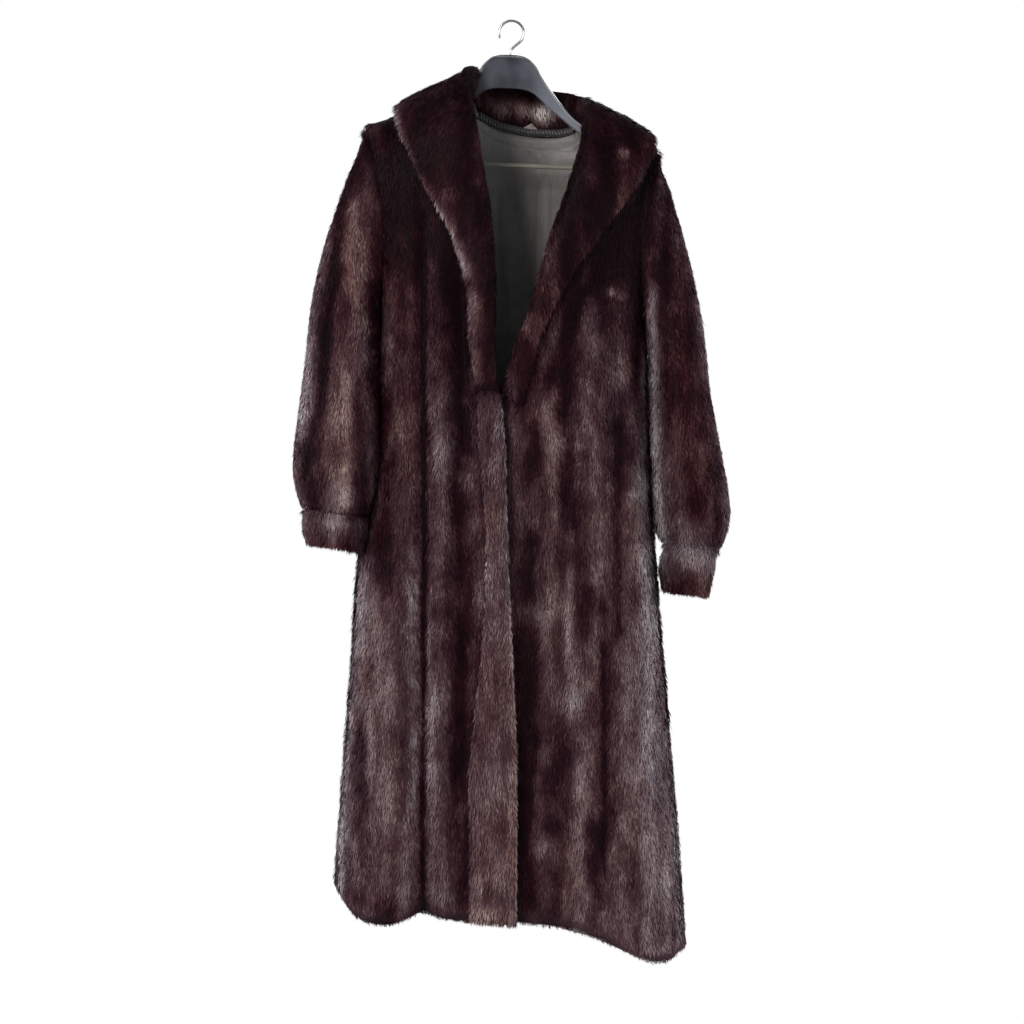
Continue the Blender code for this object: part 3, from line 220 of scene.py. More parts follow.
@dataclass(frozen=True)
class MinkPelt:
    """Underfur seen down between the guard hairs: matt, almost black wine brown, mottled by its tufts."""

    tuft_mm: float = 3.0
    mottling: float = 0.3

    def material(self) -> Material:
        """Builds the underfur's material."""
        material, tree, shader = new_material("mink underfur")
        place = add_node(tree, "TexCoord", out="Object")
        tufts = add_node(tree, "TexNoise", Vector=place, Scale=1000 / self.tuft_mm, Detail=3.0)
        pile = add_node(tree, "Attribute", {"attribute_name": "pile"})
        tone = add_node(tree, "SeparateColor", Color=pile)
        mottled = add_node(tree, "Math", {"operation": "MULTIPLY_ADD"}, i0=tufts, i1=self.mottling, i2=tone)
        colour = add_node(tree, "ValToRGB", Fac=mottled)
        set_ramp(colour, (0.15, "#080204"), (0.4, "#1b0a10"), (0.7, "#3d2b30"), (1.0, "#5e4e53"))
        bump = add_node(tree, "Bump", Height=tufts, Distance=self.tuft_mm / 1000, Strength=0.8)
        fill(tree, shader, Base_Color=colour, Normal=bump, Roughness=0.9, Specular_IOR_Level=0.1)
        return material


@dataclass(frozen=True)
class LiningSatin:
    """Acetate satin, woven with long floats: a dull grey with a soft gloss and a faint vertical thread. The
    threads are 0.25 mm apart in the real cloth and drawn at 1.2 mm, as coarse as they need to be to show."""

    thread_mm: float = 1.2
    thread_stretch: float = 0.06
    cloud_scale: float = 14.0

    def material(self) -> Material:
        """Builds the lining's material."""
        material, tree, shader = new_material("acetate lining satin")
        place = add_node(tree, "TexCoord", out="Object")
        along = add_node(tree, "Mapping", Vector=place, Scale=(1.0, 1.0, self.thread_stretch))
        threads = add_node(tree, "TexNoise", Vector=along, Scale=1000 / self.thread_mm, Detail=2.0)
        clouds = add_node(tree, "TexNoise", Vector=place, Scale=self.cloud_scale, Detail=3.0)
        fine = add_node(tree, "Math", {"operation": "MULTIPLY"}, i0=threads, i1=0.45)
        both = add_node(tree, "Math", {"operation": "MULTIPLY_ADD"}, i0=clouds, i1=0.6, i2=fine)
        colour = add_node(tree, "ValToRGB", Fac=both)
        set_ramp(colour, (0.25, "#403e3d"), (0.55, "#575554"), (0.85, "#6e6b69"))
        bump = add_node(tree, "Bump", Height=threads, Distance=0.0003, Strength=0.5)
        fill(tree, shader, Base_Color=colour, Normal=bump, Roughness=0.62, Anisotropic=0.3)
        fill(tree, shader, Sheen_Weight=0.1, Specular_IOR_Level=0.35)
        return material


@dataclass(frozen=True)
class GimpCord:
    """Rayon gimp cord, hard twisted: near black, with a dull silk gloss on each strand."""

    fibre_mm: float = 0.6

    def material(self) -> Material:
        """Builds the cord's material."""
        material, tree, shader = new_material("rayon gimp cord")
        place = add_node(tree, "TexCoord", out="Object")
        fibres = add_node(tree, "TexNoise", Vector=place, Scale=1000 / self.fibre_mm, Detail=2.0)
        colour = add_node(tree, "ValToRGB", Fac=fibres)
        set_ramp(colour, (0.3, "#08070b"), (0.7, "#201e24"))
        bump = add_node(tree, "Bump", Height=fibres, Distance=0.0004, Strength=0.6)
        fill(tree, shader, Base_Color=colour, Normal=bump, Roughness=0.42, Sheen_Weight=0.15)
        return material


@dataclass(frozen=True)
class WovenRibbon:
    """Woven cotton ribbon, plain and pale: a fine check of warp and weft, 0.6 mm apart, a little soiled."""

    thread_mm: float = 0.6

    def material(self) -> Material:
        """Builds the ribbon's material."""
        material, tree, shader = new_material("woven cotton ribbon")
        place = add_node(tree, "TexCoord", out="Object")
        scale = BAND_MM / self.thread_mm
        warp = add_node(tree, "TexWave", {"bands_direction": "X"}, "Fac", Vector=place, Scale=scale)
        weft = add_node(tree, "TexWave", {"bands_direction": "Z"}, "Fac", Vector=place, Scale=scale)
        weave = add_node(tree, "Math", {"operation": "MULTIPLY"}, i0=warp, i1=weft)
        colour = add_node(tree, "ValToRGB", Fac=weave)
        set_ramp(colour, (0.1, "#625d59"), (0.8, "#96918b"))
        bump = add_node(tree, "Bump", Height=weave, Distance=0.0002, Strength=0.6)
        fill(tree, shader, Base_Color=colour, Normal=bump, Roughness=0.8)
        return material


@dataclass(frozen=True)
class MouldedPlastic:
    """Polystyrene, moulded and glossy: sharp reflections over a blue black, with a painted highlight that
    pales it towards one arm.
    """

    name: str = "moulded polystyrene"
    dark: str = "#14151b"
    highlight_colour: str = "#62656f"
    cloud_mm: float = 45.0
    scuff_scale: float = 90.0
    highlight_end: float = 0.10
    painted_highlight: float = 0.6

    def material(self) -> Material:
        """Builds the hanger's material."""
        material, tree, shader = new_material(self.name)
        place = add_node(tree, "TexCoord", out="Object")
        across = add_node(tree, "SeparateXYZ", Vector=place)
        # Painted highlight: the colour grows paler along x, towards one arm.
        painted_highlight = add_node(tree, "MapRange", Value=across, From_Max=self.highlight_end, To_Max=self.painted_highlight)
        clouds = add_node(tree, "TexNoise", Vector=place, Scale=1000 / self.cloud_mm, Detail=2.0)
        tone = add_node(tree, "Math", {"operation": "MULTIPLY_ADD"}, i0=clouds, i1=0.5, i2=painted_highlight)
        colour = add_node(tree, "ValToRGB", Fac=tone)
        set_ramp(colour, (0.15, self.dark), (0.9, self.highlight_colour))
        scuffs = add_node(tree, "TexNoise", Vector=place, Scale=self.scuff_scale, Detail=5.0)
        gloss = add_node(tree, "MapRange", Value=scuffs, From_Min=0.3, From_Max=0.7, To_Min=0.06, To_Max=0.18)
        fill(tree, shader, Base_Color=colour, Roughness=gloss, IOR=1.55, Specular_IOR_Level=0.35)
        return material


@dataclass(frozen=True)
class PolishedSteel:
    """Nickel-plated steel wire, drawn and polished: bright, with fine marks from the drawing."""

    mark_mm: float = 2.0

    def material(self) -> Material:
        """Builds the hook's material."""
        material, tree, shader = new_material("nickel-plated steel wire")
        place = add_node(tree, "TexCoord", out="Object")
        marks = add_node(tree, "TexNoise", Vector=place, Scale=1000 / self.mark_mm, Detail=3.0)
        gloss = add_node(tree, "MapRange", Value=marks, From_Min=0.3, From_Max=0.7, To_Min=0.16, To_Max=0.3)
        fill(tree, shader, Base_Color=linear("#84858a"), Roughness=gloss, Metallic=1.0)
        return material


@dataclass(frozen=True)
class StudioPaper:
    """Matt pale paper floor with the faintest grain."""

    grain_mm: float = 25.0

    def material(self) -> Material:
        """Builds the floor's material."""
        material, tree, shader = new_material("matt studio paper")
        place = add_node(tree, "TexCoord", out="Object")
        grain = add_node(tree, "TexNoise", Vector=place, Scale=1000 / self.grain_mm)
        colour = add_node(tree, "ValToRGB", Fac=grain)
        set_ramp(colour, (0.2, "#e6e4e2"), (0.8, "#ebe9e7"))
        fill(tree, shader, Base_Color=colour, Roughness=0.9)
        return material


# ---------------------------------------------------------------- small tools


def ease(t: np.ndarray) -> np.ndarray:
    """Smooth step from 0 to 1, for values that are cut to that range first."""
    t = np.clip(t, 0.0, 1.0)
    return t * t * (3 - 2 * t)


def lattice(i: np.ndarray, j: np.ndarray, k: np.ndarray, seed: int) -> np.ndarray:
    """A fixed number from -1 to 1 for each point of a lattice.

    Args:
        i: the point's first whole number.
        j: its second.
        k: its third.
        seed: which lattice.

    Returns:
        The numbers.
    """
    primes, last_prime, low_bits = (73856093, 19349663, 83492791, 2654435761), 1274126177, 0xFFFF
    mixed = (i * primes[0]) ^ (j * primes[1]) ^ (k * primes[2]) ^ (seed * primes[3])
    mixed = (mixed ^ (mixed >> 13)) * last_prime
    mixed = mixed ^ (mixed >> 16)
    return (mixed & low_bits) / (low_bits / 2) - 1.0


def drift(points: np.ndarray, cell: Point, seed: int) -> np.ndarray:
    """Soft noise from -1 to 1 over space.

    Args:
        points: one row for each place.
        cell: size of the noise along x, y and z, in metres.
        seed: which noise.

    Returns:
        One value for each place.
    """
    far_corner = 1000.0
    scaled = points / np.array(cell) + far_corner
    base = np.floor(scaled).astype(np.int64)
    part = scaled - base
    part = part * part * (3 - 2 * part)
    total = np.zeros(len(points))
    for corner in range(8):
        step = np.array((corner & 1, corner >> 1 & 1, corner >> 2 & 1))
        weight = np.prod(np.where(step, part, 1 - part), axis=1)
        total += weight * lattice(*(base + step).T, seed)
    return total


def unit(rows: np.ndarray) -> np.ndarray:
    """Each row at length 1."""
    return rows / np.maximum(np.linalg.norm(rows, axis=1, keepdims=True), 1e-9)


def sideways(normals: np.ndarray) -> np.ndarray:
    """How far each normal points sideways, from 0 to 1."""
    return np.clip(np.abs(normals[:, 0]) - SIDEWAYS_FROM, 0, 1) / SIDEWAYS_SPAN


def new_object(name: str, data: ID) -> Object:
    """Adds an object to the scene for a mesh, a lamp or a camera."""
    thing = bpy.data.objects.new(name, data)
    bpy.context.scene.collection.objects.link(thing)
    return thing


def choose(piece: Object) -> None:
    """Leaves only this object selected, and active."""
    bpy.ops.object.select_all(action="DESELECT")
    piece.select_set(True)
    bpy.context.view_layer.objects.active = piece


def finish_piece(piece: Object, slot: str, *materials: Material) -> Object:
    """Dresses a piece and puts it on the coat's one body.

    Args:
        piece: the object.
        slot: the finish it stands for in the part's record; not used.
        materials: what it is made of.

    Returns:
        The same object.
    """
    piece.data.materials.clear()
    for material in materials:
        piece.data.materials.append(material)
    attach(piece, BODY)
    log.info("%s: %d triangles", piece.name, sum(len(p.vertices) - 2 for p in piece.data.polygons))
    return piece


def turned(start: np.ndarray, end: np.ndarray, angles: np.ndarray) -> np.ndarray:
    """Directions turned from start towards end, each by its angle in radians."""
    return start * np.cos(angles)[:, None] + end * np.sin(angles)[:, None]


def arrays(mesh: Mesh) -> tuple[np.ndarray, np.ndarray]:
    """Points and normals of a mesh's vertices."""
    points = np.empty(len(mesh.vertices) * 3)
    normals = np.empty(len(mesh.vertices) * 3)
    mesh.vertices.foreach_get("co", points)
    mesh.vertices.foreach_get("normal", normals)
    return points.reshape(-1, 3), normals.reshape(-1, 3)


def move_points(mesh: Mesh, points: np.ndarray) -> None:
    """Puts a mesh's vertices at new places."""
    mesh.vertices.foreach_set("co", points.ravel())
    mesh.update()


def write_pile(mesh: Mesh, tone: np.ndarray, tip: np.ndarray | float, warmth: np.ndarray) -> None:
    """Writes what the hair's material reads at each vertex.

    Args:
        mesh: the pelt's or the pile's mesh.
        tone: how light the hair is, from 0 to 1.
        tip: place along the hair, from 0 at its root to 1 at its tip, which sets how much painted shade
            darkens it near the root.
        warmth: how warm the hair is, from 0 to 1.
    """
    shades = np.ones((len(mesh.vertices), 4), np.float32)
    shades[:, 0], shades[:, 1], shades[:, 2] = np.clip(tone, 0, 1), tip, np.clip(warmth, 0, 1)
    mesh.color_attributes.new("pile", "FLOAT_COLOR", "POINT").data.foreach_set("color", shades.ravel())


def refined(node: str, name: str, levels: int, sharp: float = CLOTH_EDGE) -> Object:
    """A smooth, finer copy of a solid.

    Args:
        node: the solid's name.
        name: the copy's name.
        levels: how many times each face is divided.
        sharp: edges bent by more than this stay sharp, in radians.

    Returns:
        The copy.
    """
    piece = new_object(name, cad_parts[node].data.copy())
    choose(piece)
    bpy.ops.object.mode_set(mode="EDIT")
    bpy.ops.mesh.select_all(action="SELECT")
    bpy.ops.mesh.remove_doubles(threshold=1e-5)
    bpy.ops.mesh.tris_convert_to_quads(face_threshold=math.radians(35), shape_threshold=math.radians(60))
    bpy.ops.mesh.normals_make_consistent(inside=False)
    bpy.ops.mesh.select_all(action="DESELECT")
    bpy.ops.mesh.select_mode(type="EDGE")
    bpy.ops.mesh.edges_select_sharp(sharpness=sharp)
    bpy.ops.transform.edge_crease(value=1.0)
    bpy.ops.object.mode_set(mode="OBJECT")
    divide = piece.modifiers.new("finer", "SUBSURF")
    divide.levels = divide.render_levels = levels
    bpy.ops.object.modifier_apply(modifier=divide.name)
    bpy.ops.object.shade_smooth()
    return piece


# ---------------------------------------------------------------- how the pile lies and what tone it has


class Side(Enum):
    """Which faces of a solid carry fur."""

    OUTSIDE_BODY = "outside of the coat's body"
    OUTSIDE_TUBE = "outside of a sleeve or cuff"
    ALL = "every face that shows"


@dataclass(frozen=True)
class Streak:
    """A lengthwise stripe in the pile: a row of pelts, painted shade down a fold or under an edge, or painted
    sheen along a ridge. Its line runs downwards.
    """

    line: tuple[Pair, ...]
    half_width: float
    tone: float
    warmth: float = 0.0
    fade: float = 0.03

    def weight(self, points: np.ndarray) -> np.ndarray:
        """How strongly each point lies on the stripe, from 0 to 1."""
        xs, zs = np.array(self.line)[::-1].T
        off = (points[:, 0] - np.interp(points[:, 2], zs, xs)) / self.half_width
        from_low, from_top = points[:, 2] - zs[0], zs[-1] - points[:, 2]
        return np.exp(-off * off) * (ease(from_low / self.fade + 0.5) * ease(from_top / self.fade + 0.5))


@dataclass(frozen=True)
class Patch:
    """A lighter or darker patch of pile: where it lies another way or is worn, and also painted sheen and
    painted shade. Its size is half its width and height.
    """

    centre: Pair
    size: Pair
    tone: float
    warmth: float = 0.0

    def weight(self, points: np.ndarray) -> np.ndarray:
        """How strongly each point lies in the patch, from 0 to 1."""
        off = (points[:, 0] - self.centre[0]) / self.size[0]
        rise = (points[:, 2] - self.centre[1]) / self.size[1]
        return np.exp(-(off * off + rise * rise))


# Stripes and patches of the front, sleeves and collar, in metres.
# Besides rows of pelts and pile that lies another way, these marks paint shade in folds and under the
# collars' edges, and paint sheen on ridges, on the sleeves and down the coat's sides.
BODY_MARKS = (
    # Painted shade down the deepest fold.
    Streak(((-0.128, -0.282), (-0.127, -0.669), (-0.130, -1.300)), 0.005, -0.40),
    Streak(((-0.158, -0.216), (-0.149, -0.304), (-0.137, -0.450)), 0.012, -0.12, 0.10),
    # Painted shadow on the body along the outer edge of one collar.
    Streak(
        (
            (-0.184, -0.143), (-0.172, -0.202), (-0.143, -0.267),
            (-0.108, -0.340), (-0.082, -0.413), (-0.072, -0.479),
        ),
        0.009, -0.24, 0.10,
    ),
    # Painted shadow on the body along the outer edge of the other collar.
    Streak(
        ((0.199, -0.216), (0.155, -0.319), (0.107, -0.392), (0.070, -0.465), (0.047, -0.545)),
        0.010, -0.22, 0.10,
    ),
    Streak(((-0.069, -0.384), (-0.070, -0.654)), 0.013, -0.28),
    Streak(((-0.082, -0.669), (-0.073, -0.903), (-0.073, -1.136)), 0.018, -0.20, 0.10),
    Streak(((-0.061, -1.136), (-0.067, -1.282)), 0.009, -0.16),
    Streak(((-0.105, -0.480), (-0.105, -0.786), (-0.104, -1.282)), 0.016, 0.10, -0.15),
    Streak(((-0.106, -0.250), (-0.104, -0.460)), 0.018, -0.12),
    Streak(((-0.026, -0.545), (-0.022, -0.903)), 0.015, 0.17, -0.05),
    Streak(((-0.022, -0.903), (-0.026, -1.311)), 0.020, 0.13, 0.05),
    Streak(((-0.001, -0.844), (0.001, -1.304)), 0.005, 0.10, 0.50),
    Streak(((0.023, -0.742), (0.026, -0.844)), 0.018, -0.20),
    Streak(((0.018, -0.873), (0.023, -1.092)), 0.016, -0.20, 0.10),
    Streak(((0.012, -1.107), (0.026, -1.289)), 0.013, -0.14),
    Streak(((0.050, -0.786), (0.050, -0.990)), 0.010, 0.07),
    Streak(((0.085, -0.786), (0.086, -1.224)), 0.009, 0.08),
    Streak(((0.104, -0.611), (0.108, -0.903)), 0.013, -0.10, 0.10),
    Streak(((0.133, -0.903), (0.133, -1.238)), 0.005, -0.22),
    Streak(((0.117, -1.165), (0.123, -1.282)), 0.013, -0.16),
    Streak(((0.153, -0.581), (0.153, -0.903)), 0.007, -0.22),
    Streak(((0.145, -0.406), (0.146, -0.581)), 0.013, 0.12, -0.20),
    Streak(((0.128, -0.596), (0.128, -0.844)), 0.010, 0.08, -0.10),
    Streak(((0.187, -0.640), (0.187, -0.903), (0.190, -1.370)), 0.020, 0.15, -0.05),
    # Painted sheen down the coat's side.
    Streak(((0.234, -0.844), (0.251, -1.341)), 0.010, 0.12, -0.40),
    Streak(((0.093, -0.406), (0.070, -0.581)), 0.010, -0.14),
    Streak(((0.117, -0.406), (0.114, -0.552)), 0.009, 0.10, -0.20),
    Streak(((-0.188, -0.815), (-0.187, -1.282)), 0.018, 0.10, 0.10),
    Streak(((-0.149, -0.669), (-0.149, -1.282)), 0.012, 0.06, -0.20),
    # Painted sheen down the coat's other side.
    Streak(((-0.241, -0.903), (-0.254, -1.282)), 0.012, 0.14, -0.40),
    Streak(((-0.216, -0.932), (-0.225, -1.282)), 0.009, -0.06, 0.10),
    Patch((-0.193, -0.786), (0.023, 0.067), -0.24, 0.15),
    Patch((-0.185, -0.260), (0.050, 0.073), -0.20, 0.15),
    Patch((-0.146, -0.415), (0.009, 0.029), 0.22),
    Patch((-0.166, -0.406), (0.012, 0.088), -0.10, 0.30),
    Patch((-0.161, -0.589), (0.013, 0.032), 0.14),
    Patch((-0.181, -0.552), (0.012, 0.073), -0.10, 0.30),
    Patch((-0.096, -0.389), (0.012, 0.020), -0.18),
    Patch((-0.105, -0.500), (0.026, 0.090), -0.15),
    Patch((-0.111, -0.351), (0.012, 0.023), 0.14, -0.20),
    Patch((-0.070, -0.549), (0.009, 0.009), 0.25, -0.20),
    Patch((-0.067, -0.637), (0.009, 0.009), 0.20, -0.20),
    Patch((0.121, -0.853), (0.018, 0.022), -0.20, 0.10),
    Patch((0.010, -1.053), (0.015, 0.022), -0.16),
    Patch((0.055, -1.160), (0.013, 0.070), -0.04),
    Patch((0.041, -0.862), (0.015, 0.018), 0.16, -0.10),
    Patch((0.041, -1.208), (0.016, 0.023), 0.18, -0.10),
    Patch((0.092, -0.990), (0.012, 0.029), 0.08),
    Patch((0.070, -1.078), (0.013, 0.020), -0.10),
    Patch((0.146, -0.333), (0.044, 0.091), -0.20, 0.10),
    Patch((0.143, -0.393), (0.009, 0.006), 0.45, 0.10),
    Patch((0.164, -0.400), (0.013, 0.004), 0.20, 0.10),
    Patch((0.089, -0.618), (0.029, 0.007), 0.14, -0.10),
    Patch((0.172, -0.688), (0.015, 0.006), 0.14, -0.10),
    Patch((0.070, -0.472), (0.018, 0.020), 0.14, -0.20),
    Patch((0.053, -0.511), (0.015, 0.018), -0.10),
    Patch((0.026, -0.654), (0.020, 0.029), -0.12, 0.10),
    Patch((0.070, -0.698), (0.020, 0.015), -0.10),
    Patch((0.191, -1.362), (0.029, 0.013), 0.16, 0.40),
    Patch((-0.039, -1.298), (0.029, 0.012), 0.16, 0.40),
)
SLEEVE_MARKS = (
    # The pale streaks on the sleeves are painted highlights.
    Streak(((-0.232, -0.260), (-0.237, -0.450), (-0.244, -0.713)), 0.015, 0.30, 0.20),
    Streak(((-0.277, -0.319), (-0.293, -0.494), (-0.304, -0.611)), 0.015, 0.24, -0.45),
    Streak(
        ((-0.244, -0.253), (-0.266, -0.406), (-0.270, -0.508), (-0.289, -0.589), (-0.301, -0.662)),
        0.006, -0.20, 0.10,
    ),
    Streak(((-0.201, -0.304), (-0.203, -0.552)), 0.012, -0.10, 0.20),
    Streak(((-0.204, -0.581), (-0.222, -0.713)), 0.015, 0.02, -0.20),
    Patch((-0.204, -0.187), (0.035, 0.058), -0.14, 0.10),
    Patch((-0.273, -0.698), (0.035, 0.029), 0.10, -0.30),
    Streak(((0.206, -0.380), (0.209, -0.552), (0.219, -0.786)), 0.010, 0.33, -0.45),
    Streak(((0.245, -0.333), (0.264, -0.596), (0.274, -0.727)), 0.020, -0.06, 0.35),
    Streak(((0.274, -0.406), (0.307, -0.654), (0.314, -0.757)), 0.009, 0.14, -0.20),
    Patch((0.222, -0.348), (0.007, 0.088), -0.10),
    Patch((0.251, -0.765), (0.050, 0.036), 0.19, -0.35),
    Patch((0.254, -0.827), (0.044, 0.023), -0.10, 0.45),
    Patch((-0.254, -0.730), (0.038, 0.009), 0.12, -0.10),
    Patch((-0.266, -0.765), (0.038, 0.009), -0.10, 0.50),
)
COLLAR_MARKS = (
    Streak(
        (
            (-0.172, -0.114), (-0.161, -0.187), (-0.130, -0.245),
            (-0.100, -0.288), (-0.078, -0.330), (-0.062, -0.372),
        ),
        0.010, 0.42, -0.10,
    ),
    Streak(((-0.052, -0.395), (-0.041, -0.450), (-0.038, -0.530)), 0.018, 0.20, 0.15),
    Streak(((-0.073, -0.085), (-0.067, -0.187), (-0.050, -0.304)), 0.015, -0.08),
    Patch((-0.120, -0.143), (0.032, 0.058), -0.08),
    Patch((-0.131, -0.107), (0.020, 0.012), 0.12),
    Patch((-0.093, -0.254), (0.018, 0.010), 0.14),
    Streak(((0.201, -0.158), (0.158, -0.260), (0.085, -0.392), (0.048, -0.450)), 0.020, 0.04, 0.50),
    Patch((0.204, -0.158), (0.013, 0.018), 0.18, 0.40),
    Patch((0.161, -0.192), (0.009, 0.007), 0.45),
    Patch((0.128, -0.129), (0.029, 0.032), -0.08, 0.10),
    Patch((0.025, -0.444), (0.013, 0.015), 0.13, -0.10),
    Patch((0.020, -0.473), (0.012, 0.009), -0.12, 0.10),
    Patch((0.006, -0.530), (0.015, 0.032), 0.16, -0.10),
    Patch((0.041, -0.392), (0.020, 0.015), 0.02, 0.40),
    # A pale patch inside the back collar: painted sheen over a place in shade.
    Patch((0.036, -0.122), (0.045, 0.016), 0.72, -0.20),
    Patch((-0.010, -0.112), (0.030, 0.012), 0.22, 0.20),
)


# Unevenness of the pile: size of its cells along x, y and z in metres, strength, seed.
LEAN_DRIFT = (((0.05, 0.05, 0.12), 0.22, 3), ((0.012, 0.012, 0.03), 0.2, 4))
TONE_DRIFT = (
    ((0.020, 0.05, 0.22), 0.14, 5),
    ((0.012, 0.03, 0.070), 0.10, 6),
    ((0.016, 0.03, 0.026), 0.10, 9),
    ((0.005, 0.02, 0.018), 0.06, 7),
)
WARMTH_DRIFT = ((0.03, 0.05, 0.12), 0.25, 8)


@dataclass(frozen=True)
class Fleece:
    """How the pile of one part of the coat lies, and how light and how warm it is.

    Attributes:
        tone, warmth: how light and how rusty it is, from 0 to 1.
        marks: its stripes and patches.
        lower_tone: how much lighter it is below the hip.
        sideways: how far it leans away from the middle.
        side_sheen_tone, side_sheen_cooling: how much lighter and less rusty it is where it faces sideways, a
            painted sheen.
        strip, strip_lean, strip_tone: width of a strip of pelts in metres, and how its hair leans and pales.
        laid: how flat it lies, from 0 to 1.
    """

    tone: float
    warmth: float
    marks: tuple[Streak | Patch, ...]
    lower_tone: float = 0.0
    sideways: float = 0.0
    side_sheen_tone: float = 0.22
    side_sheen_cooling: float = 1.2
    strip: float = 0.052
    strip_lean: float = 0.10
    strip_tone: float = 0.04
    laid: float = 0.85

    def flow(self, points: np.ndarray, normals: np.ndarray) -> np.ndarray:
        """The way the hair lies at each point, along the surface.

        Args:
            points: where.
            normals: the way out there.

        Returns:
            One unit direction for each point.
        """
        lean = np.tile(DOWN, (len(points), 1))
        lean[:, 0] += self.sideways * np.sign(points[:, 0])
        lean[:, 0] += self.strip_lean * np.sin(points[:, 0] * (2 * math.pi / self.strip))
        depth_seed = 20
        for cell, size, seed in LEAN_DRIFT:
            lean[:, 0] += size * drift(points, cell, seed)
            lean[:, 1] += size * drift(points, cell, seed + depth_seed)
        lean -= self.laid * normals * np.sum(lean * normals, axis=1, keepdims=True)
        return unit(lean)

    def shades(self, points: np.ndarray, normals: np.ndarray) -> tuple[np.ndarray, np.ndarray]:
        """Tone and warmth of the hair at each point, from 0 to 1. Painted sheen makes the coat's sides paler
        and greyer.

        Args:
            points: where.
            normals: the way out there.

        Returns:
            Tone and warmth.
        """
        tone = self.tone + self.lower_tone * ease((CHEST - points[:, 2]) / CHEST_TO_HIP)
        warmth = np.full(len(points), self.warmth)
        for cell, size, seed in TONE_DRIFT:
            tone += size * drift(points, cell, seed)
        tone += self.strip_tone * np.cos(points[:, 0] * (2 * math.pi / self.strip))
        cell, size, seed = WARMTH_DRIFT
        warmth += size * drift(points, cell, seed)
        # Painted sheen: the pile is paler and greyer where it faces sideways.
        side = sideways(normals)
        tone += self.side_sheen_tone * side
        warmth -= self.side_sheen_cooling * self.side_sheen_tone * side
        for mark in self.marks:
            weight = mark.weight(points)
            tone += mark.tone * weight
            warmth += mark.warmth * weight
        return tone, warmth


# ---------------------------------------------------------------- the furred pieces


@dataclass(frozen=True)
class Tuft:
    """The form of a tuft and how it varies from one to the next. Lengths in metres, angles in degrees.

    Attributes:
        length, half_width: its size, of which each tuft has a share: the least one, and up to how much more.
        buried: how deep its root sits.
        bend_shares: shares of its length below and above its bend.
        roll, splay: how much its leaf turns about its own length, and how much it lies off the flow.
        low_lift, tip_lift: how far its lower and upper part stand off the pelt, and how much that varies.
        along: place of its four corners from root to tip, which sets how much painted shade darkens them near
            the root.
        own_shading: how much of its shading comes from its own leaf, and not from the pelt.
        outward_shading, lowest_shading: how far out and down the shading may face under an edge.
    """

    length: float = 0.013
    length_shares: Pair = (0.7, 0.5)
    half_width: float = 0.00065
    width_shares: Pair = (0.6, 0.7)
    buried: float = 0.0012
    bend_shares: Pair = (0.45, 0.55)
    roll: float = 28.0
    splay: float = 9.0
    low_lift: Pair = (26.0, 8.0)
    tip_lift: Pair = (7.0, 7.0)
    tone_spread: float = 0.055
    warmth_spread: float = 0.12
    darkest: float = 0.02
    along: tuple[float, ...] = (0.0, 0.6, 0.6, 1.0)
    own_shading: float = 0.25
    outward_shading: float = 0.5
    lowest_shading: float = -0.2


TUFT = Tuft()


